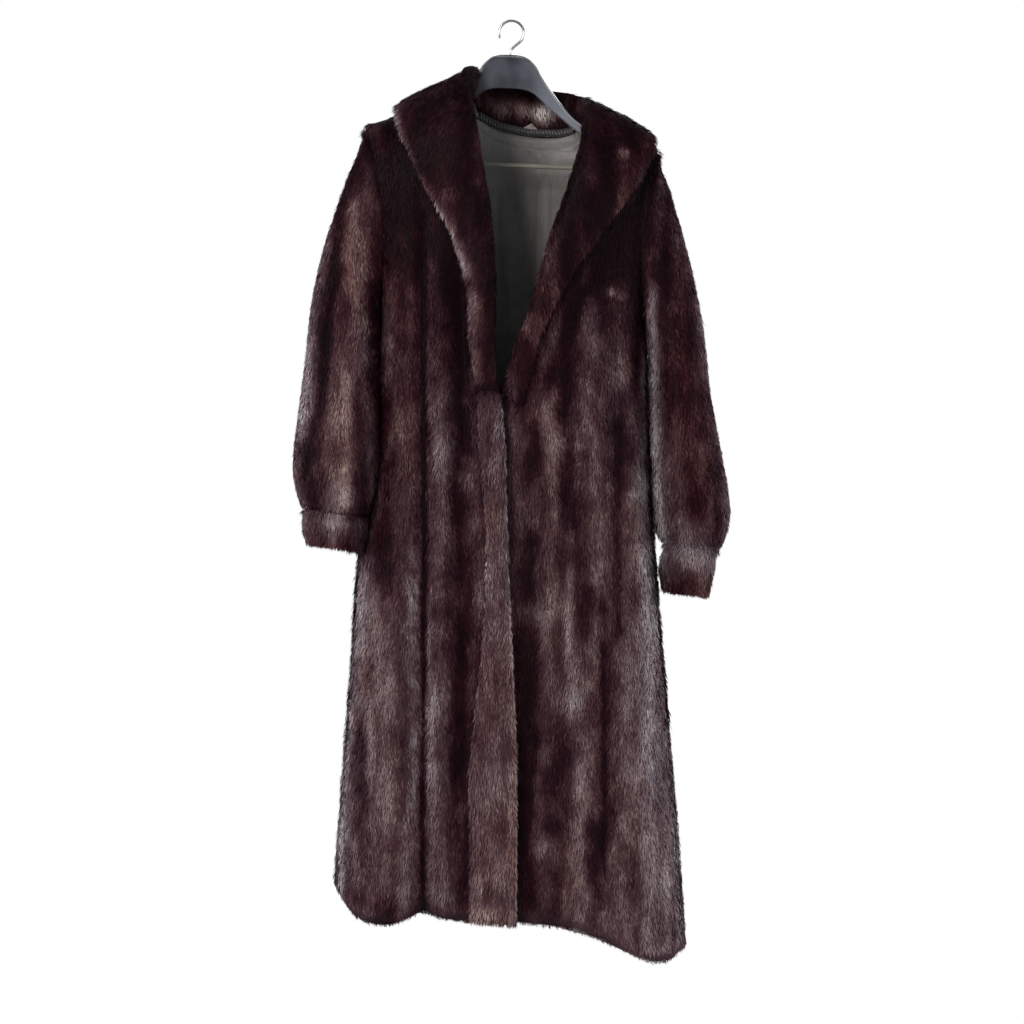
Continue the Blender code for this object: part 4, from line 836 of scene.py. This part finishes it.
@dataclass
class FurPiece:
    """One furred piece of the coat: the pelt with its satin back, and the pile that grows on it.

    Attributes:
        node: the solid that it stands for.
        side: which of its faces carry fur.
        fleece: how its pile lies and looks.
        flat: width and length of the cut, in metres; not used.
        area: flat area of the cut, in square metres; not used.
        hairs: how many tufts grow on it.
        held: how it hangs; not used.
        rests_on: what carries it; not used.
        levels: how finely its pelt is divided.
        coarse: how much wider its tufts are than the front's.
        hem_depth: how far the pelt's lower edge lies above the tips of its pile.
        tuck: how far its upper end goes up into the piece that it is sewn to.
        continues: pieces that its pile runs on into, without a seam that shows.
        clearance: how free each point of the pelt is of other pieces, from 0 to 1, once the pelt is built.
    """

    node: str
    side: Side
    fleece: Fleece
    flat: Pair
    area: float
    hairs: int
    held: str = "hung"
    rests_on: tuple[str, ...] = ("hanger_body",)
    levels: int = 1
    coarse: float = 1.0
    hem_depth: float = 0.003
    tuck: float = 0.0
    continues: tuple[str, ...] = ()
    clearance: np.ndarray | None = None

    def outward(self, points: np.ndarray) -> np.ndarray:
        """The way out of the coat at each point, as unit directions across it."""
        if self.side is Side.OUTSIDE_BODY:
            half_width, half_depth = 0.25, 0.085
            return unit(points * np.array((1 / half_width**2, 1 / half_depth**2, 0.0)))
        if self.side is Side.ALL:
            return np.tile(FRONT, (len(points), 1))
        low, high, bands = points[:, 2].min(), points[:, 2].max(), 24
        steps = np.linspace(low, high, bands)
        middles = []
        for z in steps:
            near = points[np.abs(points[:, 2] - z) < (high - low) / (bands - 1)]
            middles.append((near.min(axis=0) + near.max(axis=0)) / 2)
        middles = np.array(middles)
        across = np.stack([np.interp(points[:, 2], steps, middles[:, k]) for k in range(2)], axis=1)
        away = np.zeros_like(points)
        away[:, :2] = points[:, :2] - across
        return unit(away)

    def furred(self, points: np.ndarray, normals: np.ndarray) -> np.ndarray:
        """Which points, of all those of the solid's surface, lie on the fur side."""
        if self.side is Side.ALL:
            return np.ones(len(points), bool)
        turned_in = -0.2
        return np.sum(self.outward(points) * normals, axis=1) > turned_in

    @staticmethod
    def room(point: np.ndarray, others: list[BVHTree]) -> float:
        """How far it is from a point to the next piece, up to the room that full pile needs.

        Args:
            point: a point of the pelt.
            others: the other solids.

        Returns:
            The distance, in metres.
        """
        found = [tree.find_nearest(Vector(point), ROOM_FOR_PILE)[3] for tree in others]
        return min([d for d in found if d is not None], default=ROOM_FOR_PILE)

    @staticmethod
    def inward(point: np.ndarray, normal: np.ndarray, joined: list[BVHTree]) -> np.ndarray:
        """The way in which a point of the pelt is let in, which keeps it on a piece that it runs on into.

        Args:
            point: a point of the pelt.
            normal: the way out there.
            joined: the solids of such pieces.

        Returns:
            A unit direction, or nothing where the point faces such a piece squarely.
        """
        way = -normal
        for tree in joined:
            hit, _, _, gap = tree.find_nearest(Vector(point), TOUCHING)
            if hit is not None:
                toward = (np.array(hit) - point) / max(gap, 1e-6)
                way = way - toward * min(np.dot(way, toward), 0.0)
        length, shortest = np.linalg.norm(way), 0.4
        return way / length if length > shortest else np.zeros(3)

    @staticmethod
    def rest(point: np.ndarray, normal: np.ndarray, under: list[BVHTree]) -> np.ndarray:
        """The move that lays a point of a loose piece on the cloth just under it.

        Args:
            point: a point of the pelt.
            normal: the way out there.
            under: the solids of the coat's body.

        Returns:
            The move, in metres.
        """
        straight_out = 0.4
        for tree in under:
            hit, _, _, gap = tree.find_nearest(Vector(point), ROOM_FOR_PILE)
            if hit is None or gap <= RESTING:
                continue
            toward = np.array(hit) - point
            if np.dot(toward, normal) > straight_out * gap:
                share = ease(2 * (1 - gap / ROOM_FOR_PILE))
                return toward * (share * (gap - RESTING) / gap)
        return np.zeros(3)

    def pelt(self, solids: Trees) -> Object:
        """Builds the pelt: the solid's form, finer, with its fur side let in by the depth of the pile.

        Args:
            solids: search trees of the other solids, by name.

        Returns:
            The pelt.
        """
        piece = refined(self.node, f"{self.node}_pelt", self.levels)
        mesh = piece.data
        points, normals = arrays(mesh)
        fur = self.furred(points, normals)
        others = [tree for name, tree in solids.items() if name not in self.continues]
        joined = [solids[name] for name in self.continues]
        room = np.array([self.room(p, others) for p in points])
        self.clearance = ease(room / ROOM_FOR_PILE)
        ways = np.array([self.inward(p, n, joined) for p, n in zip(points, normals)])
        moved = points + ways * (PILE_DEPTH * fur * self.clearance)[:, None]
        if self.side is not Side.OUTSIDE_BODY:
            under = [solids[name] for name in ("back", *FRONTS)]
            moved += np.array([self.rest(p, n, under) for p, n in zip(points, normals)])
        half_up = 0.5
        moved[:, 2] += self.hem_depth * np.clip(-normals[:, 2] / half_up, 0, 1) * (points[:, 2] < CHEST)
        moved[:, 2] += self.tuck * np.clip(normals[:, 2] / half_up, 0, 1)
        move_points(mesh, moved)
        tone, warmth = self.fleece.shades(points, normals)
        # Painted shade: the pelt darkens where another piece lies close.
        write_pile(mesh, tone - PAINTED_CONTACT_SHADE * (1 - self.clearance), 1.0, warmth)
        centres = np.array([p.center for p in mesh.polygons])
        facings = np.array([p.normal for p in mesh.polygons])
        inside = ~self.furred(centres, facings)
        mesh.polygons.foreach_set("material_index", inside.astype(np.int32))
        return piece

    def roots(self, pelt: Object, solids: Trees) -> tuple[np.ndarray, np.ndarray, np.ndarray]:
        """Chooses where hair grows: on the fur side, where no other piece lies against it.

        Args:
            pelt: the pelt.
            solids: search trees of the other solids, by name.

        Returns:
            Points, normals and how free each is of other pieces.
        """
        mesh = pelt.data
        mesh.calc_loop_triangles()
        points, normals = arrays(mesh)
        triangles = np.array([t.vertices for t in mesh.loop_triangles])
        owners = np.array([t.polygon_index for t in mesh.loop_triangles])
        shown = np.array([self.open_air(p, solids) for p in mesh.polygons])
        triangles = triangles[shown[owners]]
        a, b, c = (points[triangles[:, k]] for k in range(3))
        sizes = np.linalg.norm(np.cross(b - a, c - a), axis=1)
        root_seed = len(self.node) * 101 + sum(map(ord, self.node))
        rng = np.random.default_rng(root_seed)
        picked = rng.choice(len(triangles), self.hairs, p=sizes / sizes.sum())
        u, v = rng.random((2, self.hairs))
        flip = u + v > 1
        u[flip], v[flip] = 1 - u[flip], 1 - v[flip]
        weights = np.stack((1 - u - v, u, v), axis=1)
        corners = triangles[picked]
        places = (points[corners] * weights[:, :, None]).sum(axis=1)
        ways = unit((normals[corners] * weights[:, :, None]).sum(axis=1))
        return places, ways, (self.clearance[corners] * weights).sum(axis=1)

    @staticmethod
    def open_air(face: MeshPolygon, solids: Trees) -> bool:
        """Whether a face of the pelt carries fur, has room over it and is clear of the neck cord."""
        if face.material_index == 1 or solids["neck_cord"].find_nearest(face.center, BARE_BY_CORD)[0]:
            return False
        just_outside = face.center + face.normal * 0.001
        return not any(tree.ray_cast(just_outside, face.normal, TOUCHING)[0] for tree in solids.values())

    def pile(self, pelt: Object, solids: Trees) -> Object:
        """Grows the pile: one leaf-shaped tuft of two triangles for each root, which lies along the flow.

        Args:
            pelt: the pelt.
            solids: search trees of the other solids, by name.

        Returns:
            The pile.
        """
        roots, normals, free = self.roots(pelt, solids)
        count = len(roots)
        tuft_seed = 7 + sum(map(ord, self.node))
        rng = np.random.default_rng(tuft_seed)
        flow = self.fleece.flow(roots, normals)
        side = np.cross(flow, normals)
        across = turned(side, normals, math.radians(TUFT.roll) * rng.standard_normal(count))
        flow = unit(turned(flow, side, math.radians(TUFT.splay) * rng.standard_normal(count)))
        facing_down = np.clip(-normals[:, 2], 0, 1)
        least, varying = TUFT.length_shares
        length = TUFT.length * (least + varying * rng.random(count)) * (1 - 0.5 * facing_down)
        least, varying = TUFT.width_shares
        width = TUFT.half_width * self.coarse * (least + varying * rng.random(count))
        lower, upper = (
            turned(flow, normals, np.radians(lift + spread * rng.standard_normal(count)))
            for lift, spread in (TUFT.low_lift, TUFT.tip_lift)
        )
        base = roots - normals * TUFT.buried
        below, above = TUFT.bend_shares
        middle = base + lower * (below * length)[:, None]
        tips = middle + upper * (above * length)[:, None]
        edge = across * width[:, None]
        mesh = self.leaves(f"{self.node}_pile", np.stack((base, middle - edge, middle + edge, tips), axis=1))
        tone, warmth = self.fleece.shades(roots, normals)
        # Painted shade: the tufts darken where another piece lies close.
        tone -= PAINTED_CONTACT_SHADE * (1 - free)
        tone = np.clip(tone + TUFT.tone_spread * rng.standard_normal(count), TUFT.darkest, 1)
        warmth += TUFT.warmth_spread * rng.standard_normal(count)
        # Tufts that face sideways get no painted root shade, which keeps the coat's sides pale as a painted
        # sheen.
        tip = np.maximum(np.array(TUFT.along), sideways(normals)[:, None])
        write_pile(mesh, np.repeat(tone, 4), tip.ravel(), np.repeat(warmth, 4))
        own = unit(np.cross(flow, across))
        own *= np.sign(np.sum(own * normals, axis=1, keepdims=True))
        shading = normals + TUFT.outward_shading * self.outward(roots) * facing_down[:, None]
        shading[:, 2] = np.maximum(shading[:, 2], TUFT.lowest_shading)
        shading = unit(unit(shading) * (1 - TUFT.own_shading) + own * TUFT.own_shading)
        mesh.normals_split_custom_set_from_vertices(np.repeat(shading, 4, axis=0))
        self.lay_map(mesh, count)
        return new_object(mesh.name, mesh)

    @staticmethod
    def leaves(name: str, corners: np.ndarray) -> Mesh:
        """A mesh of loose leaves, each of two triangles.

        Args:
            name: the mesh's name.
            corners: root, left, right and tip of each leaf.

        Returns:
            The mesh.
        """
        count = len(corners)
        halves = np.array((0, 2, 1, 1, 2, 3))
        loops = (np.arange(count)[:, None] * 4 + halves).ravel()
        mesh = bpy.data.meshes.new(name)
        mesh.vertices.add(count * 4)
        mesh.vertices.foreach_set("co", corners.ravel())
        mesh.loops.add(len(loops))
        mesh.loops.foreach_set("vertex_index", loops.astype(np.int32))
        mesh.polygons.add(count * 2)
        mesh.polygons.foreach_set("loop_start", np.arange(0, len(loops), 3, dtype=np.int32))
        mesh.update()
        return mesh

    @staticmethod
    def lay_map(mesh: Mesh, count: int) -> None:
        """Gives each tuft its own small square of the map that the colours are drawn on."""
        across = math.ceil(math.sqrt(count))
        number = np.arange(count)
        corner = np.stack((number % across, number // across), axis=1)[:, None, :]
        root, left, right, tip = (0.5, 0.1), (0.1, 0.5), (0.9, 0.5), (0.5, 0.9)
        places = (corner + np.array((root, right, left, left, right, tip))) / across
        mesh.uv_layers.new(name="OFBake").data.foreach_set("uv", places.astype(np.float32).ravel())

    def build(self, pelt_finish: Material, satin: Material, hair: Material, solids: Trees) -> None:
        """Args:
            pelt_finish: the underfur's material.
            satin: the lining's material, for the inside.
            hair: the guard hair's material.
            solids: search trees of the other solids, by name, against which no hair grows.
        """
        pelt = self.pelt(solids)
        pile = self.pile(pelt, solids)
        finish_piece(pile, "mink_fur", hair)
        kept = np.empty(len(pelt.data.polygons), np.int32)
        pelt.data.polygons.foreach_get("material_index", kept)
        finish_piece(pelt, "mink_fur", pelt_finish, satin)
        pelt.data.polygons.foreach_set("material_index", kept)
        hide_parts(self.node)


def search_trees() -> Trees:
    """A search tree of each solid, by its name."""
    trees = {}
    for name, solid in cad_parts.items():
        mesh = solid.data
        trees[name] = BVHTree.FromPolygons([v.co for v in mesh.vertices], [p.vertices for p in mesh.polygons])
    return trees


def fur_pieces() -> list[FurPiece]:
    """The coat's furred pieces, with their cuts."""
    body = Fleece(0.16, 0.26, BODY_MARKS, lower_tone=0.18)
    sleeve = Fleece(0.20, 0.32, SLEEVE_MARKS, lower_tone=0.07, side_sheen_tone=0.12)
    cuff = Fleece(0.38, 0.22, SLEEVE_MARKS, side_sheen_tone=0.10)
    edge = Fleece(0.22, 0.32, BODY_MARKS, lower_tone=0.18)
    collar = Fleece(0.12, 0.30, COLLAR_MARKS, sideways=0.35, side_sheen_tone=0.12)
    behind = Fleece(0.33, 0.20, (), lower_tone=0.12)
    outside, all_round = Side.OUTSIDE_BODY, Side.OUTSIDE_TUBE
    return [
        FurPiece("back", outside, behind, (0.66, 1.27), 0.58, 70000,
                 coarse=1.5, hem_depth=0.010, continues=FRONTS),
        FurPiece("front_right", outside, body, (0.34, 1.25), 0.30, 88000, continues=("back",)),
        FurPiece("front_left", outside, body, (0.36, 1.30), 0.315, 90000, continues=("back",)),
        FurPiece("front_band", Side.ALL, edge, (0.06, 0.80), 0.046, 14000,
                 rests_on=("front_right",), tuck=0.003, continues=("collar_right",)),
        FurPiece("sleeve_right", all_round, sleeve, (0.36, 0.55), 0.16, 50000,
                 hem_depth=0.0, continues=("cuff_right",)),
        FurPiece("sleeve_left", all_round, sleeve, (0.34, 0.58), 0.145, 50000,
                 hem_depth=0.0, continues=("cuff_left",)),
        FurPiece("cuff_right", all_round, cuff, (0.20, 0.08), 0.0145, 9000,
                 tuck=0.002, continues=("sleeve_right",)),
        FurPiece("cuff_left", all_round, cuff, (0.21, 0.09), 0.0165, 9000,
                 tuck=0.002, continues=("sleeve_left",)),
        FurPiece("collar_right", Side.ALL, collar, (0.18, 0.62), 0.082, 30000,
                 hem_depth=0.0, continues=("front_band",)),
        FurPiece("collar_left", Side.ALL, collar, (0.16, 0.62), 0.071, 30000),
    ]


# ---------------------------------------------------------------- lining, cord and tab


@dataclass(frozen=True)
class Crease:
    """A soft ridge, or a trough where its rise is below 0, between two places (x, z). Sizes in metres."""

    start: Pair
    end: Pair
    half_width: float
    rise: float
    fade: float = 0.15

    def relief(self, points: np.ndarray) -> np.ndarray:
        """How far the crease lifts each point, full along its middle and none at its ends."""
        start, run = np.array(self.start), np.array(self.end) - np.array(self.start)
        length = np.linalg.norm(run)
        off = points[:, (0, 2)] - start
        along = off @ run / length**2
        across = (off @ np.array((-run[1], run[0]))) / length
        ridge = self.rise * np.exp(-((across / self.half_width) ** 2))
        return ridge * ease(along / self.fade) * ease((1 - along) / self.fade)


@dataclass
class BackLining:
    """The satin lining of the back, which shows in the open neck, with its centre pleat and creases."""

    creases: tuple[Crease, ...] = (
        Crease((0.052, -0.215), (0.049, -0.520), 0.004, 0.0028),
        Crease((0.042, -0.215), (0.039, -0.520), 0.006, -0.0030),
        Crease((0.005, -0.170), (0.043, -0.218), 0.006, -0.0030),
        Crease((0.012, -0.163), (0.052, -0.208), 0.006, 0.0022),
        Crease((0.062, -0.186), (0.104, -0.184), 0.005, -0.0028),
        Crease((0.060, -0.197), (0.104, -0.199), 0.006, 0.0022),
        Crease((-0.030, -0.230), (-0.016, -0.420), 0.012, -0.0030),
        Crease((-0.012, -0.250), (0.004, -0.480), 0.012, 0.0028),
        Crease((0.080, -0.230), (0.070, -0.380), 0.009, -0.0025),
        Crease((-0.120, -0.300), (-0.140, -1.150), 0.018, -0.0035),
        Crease((0.130, -0.330), (0.150, -1.180), 0.016, -0.0035),
        Crease((0.010, -0.600), (0.020, -1.200), 0.020, 0.0030),
    )
    slack: float = 0.0008
    slack_cell: Point = (0.035, 0.1, 0.22)
    slack_seed: int = 31
    flat: Pair = (0.52, 1.10)
    area: float = 0.42

    def relief(self, points: np.ndarray) -> np.ndarray:
        """How far the cloth stands towards the front at each point, in metres."""
        stands = self.slack * drift(points, self.slack_cell, self.slack_seed)
        for crease in self.creases:
            stands += crease.relief(points)
        return stands

    def build(self, satin: Material) -> None:
        """Builds the lining as a thin shell on the form of its solid.

        Args:
            satin: its material.
        """
        piece = refined("lining_back", "lining_back_satin", 2)
        points, _ = arrays(piece.data)
        points[:, 1] -= self.relief(points)
        move_points(piece.data, points)
        finish_piece(piece, "lining_satin", satin)
        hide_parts("lining_back")


def smooth_route(points: list[Point], count: int) -> np.ndarray:
    """A smooth line through points.

    Args:
        points: where it passes.
        count: how many points it gets.

    Returns:
        The line's points, evenly spread.
    """
    given = np.array(points)
    knots = np.concatenate(([0], np.cumsum(np.linalg.norm(np.diff(given, axis=0), axis=1))))
    slopes = np.gradient(given, knots, axis=0)
    at = np.linspace(0, knots[-1], count)
    index = np.clip(np.searchsorted(knots, at, side="right") - 1, 0, len(knots) - 2)
    span = (knots[index + 1] - knots[index])[:, None]
    t = (at - knots[index])[:, None] / span
    return (
        (2 * t**3 - 3 * t**2 + 1) * given[index]
        + (t**3 - 2 * t**2 + t) * span * slopes[index]
        + (3 * t**2 - 2 * t**3) * given[index + 1]
        + (t**3 - t**2) * span * slopes[index + 1]
    )


def carried_frame(route: np.ndarray) -> tuple[np.ndarray, np.ndarray]:
    """Two directions across a route at each of its points, which turn no more than the route does.

    Args:
        route: its points.

    Returns:
        The first and the second direction at each point.
    """
    ways, nearly_upright = unit(np.gradient(route, axis=0)), 0.9
    upright = abs(ways[0][2]) >= nearly_upright
    current = np.array((0.0, 1.0, 0.0)) if upright else np.array((0.0, 0.0, 1.0))
    firsts = []
    for way in ways:
        current = current - way * np.dot(current, way)
        current = current / np.linalg.norm(current)
        firsts.append(current)
    firsts = np.array(firsts)
    return firsts, np.cross(ways, firsts)


def tube(route: np.ndarray, radii: np.ndarray, sides: int) -> tuple[list, list]:
    """A closed tube along a route.

    Args:
        route: its points.
        radii: the radius at each.
        sides: how many sides it has.

    Returns:
        Points and faces.
    """
    first, second = carried_frame(route)
    turn = np.linspace(0, 2 * math.pi, sides, endpoint=False)
    ring = turned(first[:, None, :], second[:, None, :], turn)
    verts = (route[:, None, :] + ring * radii[:, None, None]).reshape(-1, 3)
    here = np.arange(len(verts)).reshape(-1, sides)
    beside = np.roll(here, -1, axis=1)
    walls = np.stack((here[:-1], beside[:-1], beside[1:], here[1:]), axis=2).reshape(-1, 4)
    return verts.tolist(), [*walls.tolist(), here[0, ::-1].tolist(), here[-1].tolist()]


def join_tubes(name: str, tubes: list[tuple[list, list]]) -> Object:
    """One smooth object of several tubes.

    Args:
        name: the object's name.
        tubes: points and faces of each.

    Returns:
        The object.
    """
    verts, faces = [], []
    for more_verts, more_faces in tubes:
        start = len(verts)
        verts += more_verts
        faces += [tuple(i + start for i in face) for face in more_faces]
    mesh = bpy.data.meshes.new(name)
    mesh.from_pydata(verts, [], faces)
    piece = new_object(name, mesh)
    choose(piece)
    bpy.ops.object.mode_set(mode="EDIT")
    bpy.ops.mesh.select_all(action="SELECT")
    bpy.ops.mesh.normals_make_consistent(inside=False)
    bpy.ops.object.mode_set(mode="OBJECT")
    bpy.ops.object.shade_smooth_by_angle(angle=CLOTH_EDGE)
    return piece


@dataclass
class NeckCord:
    """The gimp over the seam between the lining and the collar: three strands wound into a flat braid."""

    route: tuple[Point, ...] = (
        (-0.0490, 0.0462, -0.1335),
        (-0.0419, 0.0474, -0.1375),
        (-0.0304, 0.0493, -0.1436),
        (-0.0150, 0.0508, -0.1495),
        (0.0077, 0.0512, -0.1549),
        (0.0270, 0.0513, -0.1587),
        (0.0465, 0.0503, -0.1597),
        (0.0688, 0.0476, -0.1600),
        (0.0823, 0.0419, -0.1580),
        (0.0917, 0.0368, -0.1536),
    )
    half_width: float = 0.0060
    pitch: float = 0.0140
    strands: int = 3
    strand_radius: float = 0.0038 * 0.62
    strand_gap: float = 0.98
    strand_sides: int = 8
    steps: int = 220

    def build(self, gimp: Material) -> None:
        """Builds the cord.

        Args:
            gimp: its material.
        """
        middle = smooth_route(list(self.route), self.steps)
        first, second = carried_frame(middle)
        gone = np.concatenate(([0], np.cumsum(np.linalg.norm(np.diff(middle, axis=0), axis=1))))
        radii = np.full(len(middle), self.strand_radius * self.strand_gap)
        tubes = []
        for number in range(self.strands):
            turn = gone / self.pitch * 2 * math.pi + number * 2 * math.pi / self.strands
            rise = (self.half_width - self.strand_radius) * np.cos(turn)[:, None]
            route = middle + first * rise + second * self.strand_radius * np.sin(turn)[:, None]
            tubes.append(tube(route, radii, self.strand_sides))
        piece = finish_piece(join_tubes("neck_gimp", tubes), "gimp_cord", gimp)
        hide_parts("neck_cord")


@dataclass
class NeckTab:
    """The small folded ribbon tab under the cord."""

    flat: Pair = (0.010, 0.024)
    area: float = 0.00013

    def build(self, ribbon: Material) -> None:
        """Builds the tab.

        Args:
            ribbon: its material.
        """
        piece = refined("neck_tab", "neck_tab_ribbon", 3)
        finish_piece(piece, "pale_ribbon", ribbon)
        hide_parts("neck_tab")


# ---------------------------------------------------------------- the hanger


@dataclass
class Hanger:
    """The moulded hanger with its trouser bar and its wire hook."""

    tilt: float = 0.048
    wire: float = 0.0019
    wire_sides: int = 20
    bend_radius: float = 0.018
    bend_centre: float = -0.0161
    bend_from: float = -50.0
    bend_to: float = 208.0
    bend_steps: int = 60
    stem: tuple[Point, ...] = ((0, 0, -0.0467), (0, 0, -0.042), (0.0045, 0, -0.0365))
    stem_steps: int = 14
    tip_taper: tuple[float, ...] = (0.97, 0.85, 0.5)
    rim_radius: float = 0.0014
    rim_place: float = 0.87
    rim_steps: int = 200
    rim_taper: float = 0.3
    taper_steps: int = 6
    rim_sides: int = 10
    bare_ends: int = 2

    def tilted(self, points: np.ndarray, back: bool = False) -> np.ndarray:
        """The points after the hanger has tilted about its hook, or before it did."""
        turn = np.array(Matrix.Rotation(-self.tilt if back else self.tilt, 3, "Y"))
        return points @ turn.T

    def arms(self, plastic: Material) -> None:
        """Builds the moulded body.

        Args:
            plastic: its material.
        """
        piece = refined("hanger_body", "hanger_moulding", 2, PLASTIC_EDGE)
        choose(piece)
        sharp_edge = math.radians(40)
        bpy.ops.object.shade_smooth_by_angle(angle=sharp_edge)
        finish_piece(piece, "black_plastic", plastic)
        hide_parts("hanger_body")

    def rim(self, plastic: Material) -> None:
        """Builds the bead that is moulded along the front's upper edge, from one arm's end to the other's.

        Args:
            plastic: its material, painted pale as a highlight.
        """
        points = self.tilted(arrays(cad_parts["hanger_body"].data)[0], back=True)
        stations = np.unique(np.round(points[:, 0], 4))[self.bare_ends : -self.bare_ends]
        same_station = 2e-4
        edge = []
        for x in stations:
            ring = points[np.abs(points[:, 0] - x) < same_station]
            face = ring[ring[:, 1] < 0]
            edge.append(face[np.argmin(np.abs(face[:, 1] / face[:, 1].min() - self.rim_place))])
        route = smooth_route(edge, self.rim_steps)
        radii = np.full(len(route), self.rim_radius)
        radii[: self.taper_steps] *= np.linspace(self.rim_taper, 1.0, self.taper_steps)
        radii[-self.taper_steps :] *= np.linspace(1.0, self.rim_taper, self.taper_steps)
        piece = join_tubes("hanger_rim_bead", [tube(self.tilted(route), radii, self.rim_sides)])
        finish_piece(piece, "black_plastic", plastic)

    def trouser_bar(self, plastic: Material) -> None:
        """Builds the bar.

        Args:
            plastic: its material.
        """
        piece = refined("hanger_bar", "hanger_bar_rod", 1)
        finish_piece(piece, "black_plastic", plastic)
        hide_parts("hanger_bar")

    def hook(self, steel: Material) -> None:
        """Builds the wire hook on the route of its solid.

        Args:
            steel: its material.
        """
        angles = np.radians(np.linspace(self.bend_from, self.bend_to, self.bend_steps))
        across, up = self.bend_radius * np.cos(angles), self.bend_centre + self.bend_radius * np.sin(angles)
        arc = np.stack((across, np.zeros(len(angles)), up), axis=1)
        stem = smooth_route([*self.stem, tuple(arc[0])], self.stem_steps)[:-1]
        route = self.tilted(np.concatenate((stem, arc)))
        radii = np.full(len(route), self.wire)
        radii[-len(self.tip_taper) :] *= self.tip_taper
        piece = join_tubes("hanger_hook_wire", [tube(route, radii, self.wire_sides)])
        finish_piece(piece, "polished_steel", steel)
        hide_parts("hanger_hook")


# ---------------------------------------------------------------- the studio


@dataclass
class Studio:
    """A pale floor, soft light from all round, five square lamps that face the coat, and the camera.

    Attributes:
        lamps: each lamp's name, place, side in metres, power in watts and colour.
    """

    lamps: tuple[tuple[str, Point, float, float, str], ...] = (
        ("key", (-2.0, -3.4, 1.0), 1.4, 230.0, "#fffaf6"),
        ("fill", (2.6, -3.2, -0.6), 2.0, 60.0, "#f2f6ff"),
        ("behind", (0.5, 3.2, 1.2), 2.0, 60.0, "#ffffff"),
        ("left edge", (-3.2, -0.3, -0.2), 1.6, 90.0, "#f4f6ff"),
        ("right edge", (3.2, -0.3, -0.2), 1.6, 90.0, "#f4f6ff"),
    )
    distance: float = 7.0
    lens: float = 167.5
    aim_height: float = -0.7198
    floor_height: float = -1.75
    floor_radius: float = 2.4
    ambient: float = 0.45

    def floor(self) -> None:
        """Builds the floor disc."""
        bpy.ops.object.select_all(action="DESELECT")
        bpy.ops.mesh.primitive_circle_add(
            vertices=96, radius=self.floor_radius, fill_type="NGON", location=(0, 0, self.floor_height)
        )
        disc = bpy.context.active_object
        disc.name = "studio_floor"
        disc.data.materials.append(StudioPaper().material())

    def light(self) -> None:
        """Hangs the lamps, and gives the air an even light that looks white to the camera."""
        for name, place, size, power, colour in self.lamps:
            data = bpy.data.lights.new(name, "AREA")
            data.size, data.energy, data.color = size, power, linear(colour)[:3]
            lamp = new_object(name, data)
            lamp.location = place
            aim = Vector((0, 0, self.aim_height)) - Vector(place)
            lamp.rotation_euler = aim.to_track_quat("-Z", "Y").to_euler()
        world = bpy.data.worlds.new("white studio")
        bpy.context.scene.world = world
        world.use_nodes = True
        tree = world.node_tree
        seen = add_node(tree, "LightPath", out="Is Camera Ray")
        strength = add_node(tree, "MapRange", Value=seen, To_Min=self.ambient)
        fill(tree, tree.nodes["Background"], Color=(1.0, 1.0, 1.0, 1.0), Strength=strength)

    def build(self) -> None:
        """Builds the studio and aims the camera."""
        self.floor()
        self.light()
        data = bpy.data.cameras.new("camera")
        data.lens, data.sensor_width, data.clip_end = self.lens, 36.0, 100.0
        camera = new_object("camera", data)
        camera.location = (0, -self.distance, self.aim_height)
        camera.rotation_euler = (math.radians(90), 0, 0)
        bpy.context.scene.camera = camera
        bpy.context.scene.view_settings.view_transform = "Standard"


def write_size(before: tuple[Vector, Vector]) -> None:
    """Logs the solids' box as a plain list.

    Args:
        before: the solids' box.
    """
    log.info("solids %s", [[round(v, 4) for v in c] for c in before])


def main() -> None:
    """Builds the studio and every piece, in order."""
    logging.basicConfig(level=logging.INFO, format="%(message)s")
    Studio().build()
    hair, underfur = MinkPile().material(), MinkPelt().material()
    satin, gimp, ribbon = LiningSatin().material(), GimpCord().material(), WovenRibbon().material()
    plastic, steel = MouldedPlastic().material(), PolishedSteel().material()
    # The rim bead is painted pale as a highlight.
    highlight_plastic = MouldedPlastic("polystyrene with painted highlight", "#434347", "#77777c").material()
    bar_plastic = MouldedPlastic("scuffed polystyrene", "#4b4b43", "#6c6c60").material()
    hanger = Hanger()
    hanger.arms(plastic)
    hanger.rim(highlight_plastic)
    hanger.trouser_bar(bar_plastic)
    hanger.hook(steel)
    BackLining().build(satin)
    NeckCord().build(gimp)
    NeckTab().build(ribbon)
    solids = search_trees()
    for piece in fur_pieces():
        others = {name: tree for name, tree in solids.items() if name != piece.node}
        piece.build(underfur, satin, hair, others)
    write_size(CAD_BOX)


if __name__ == "__main__":
    main()
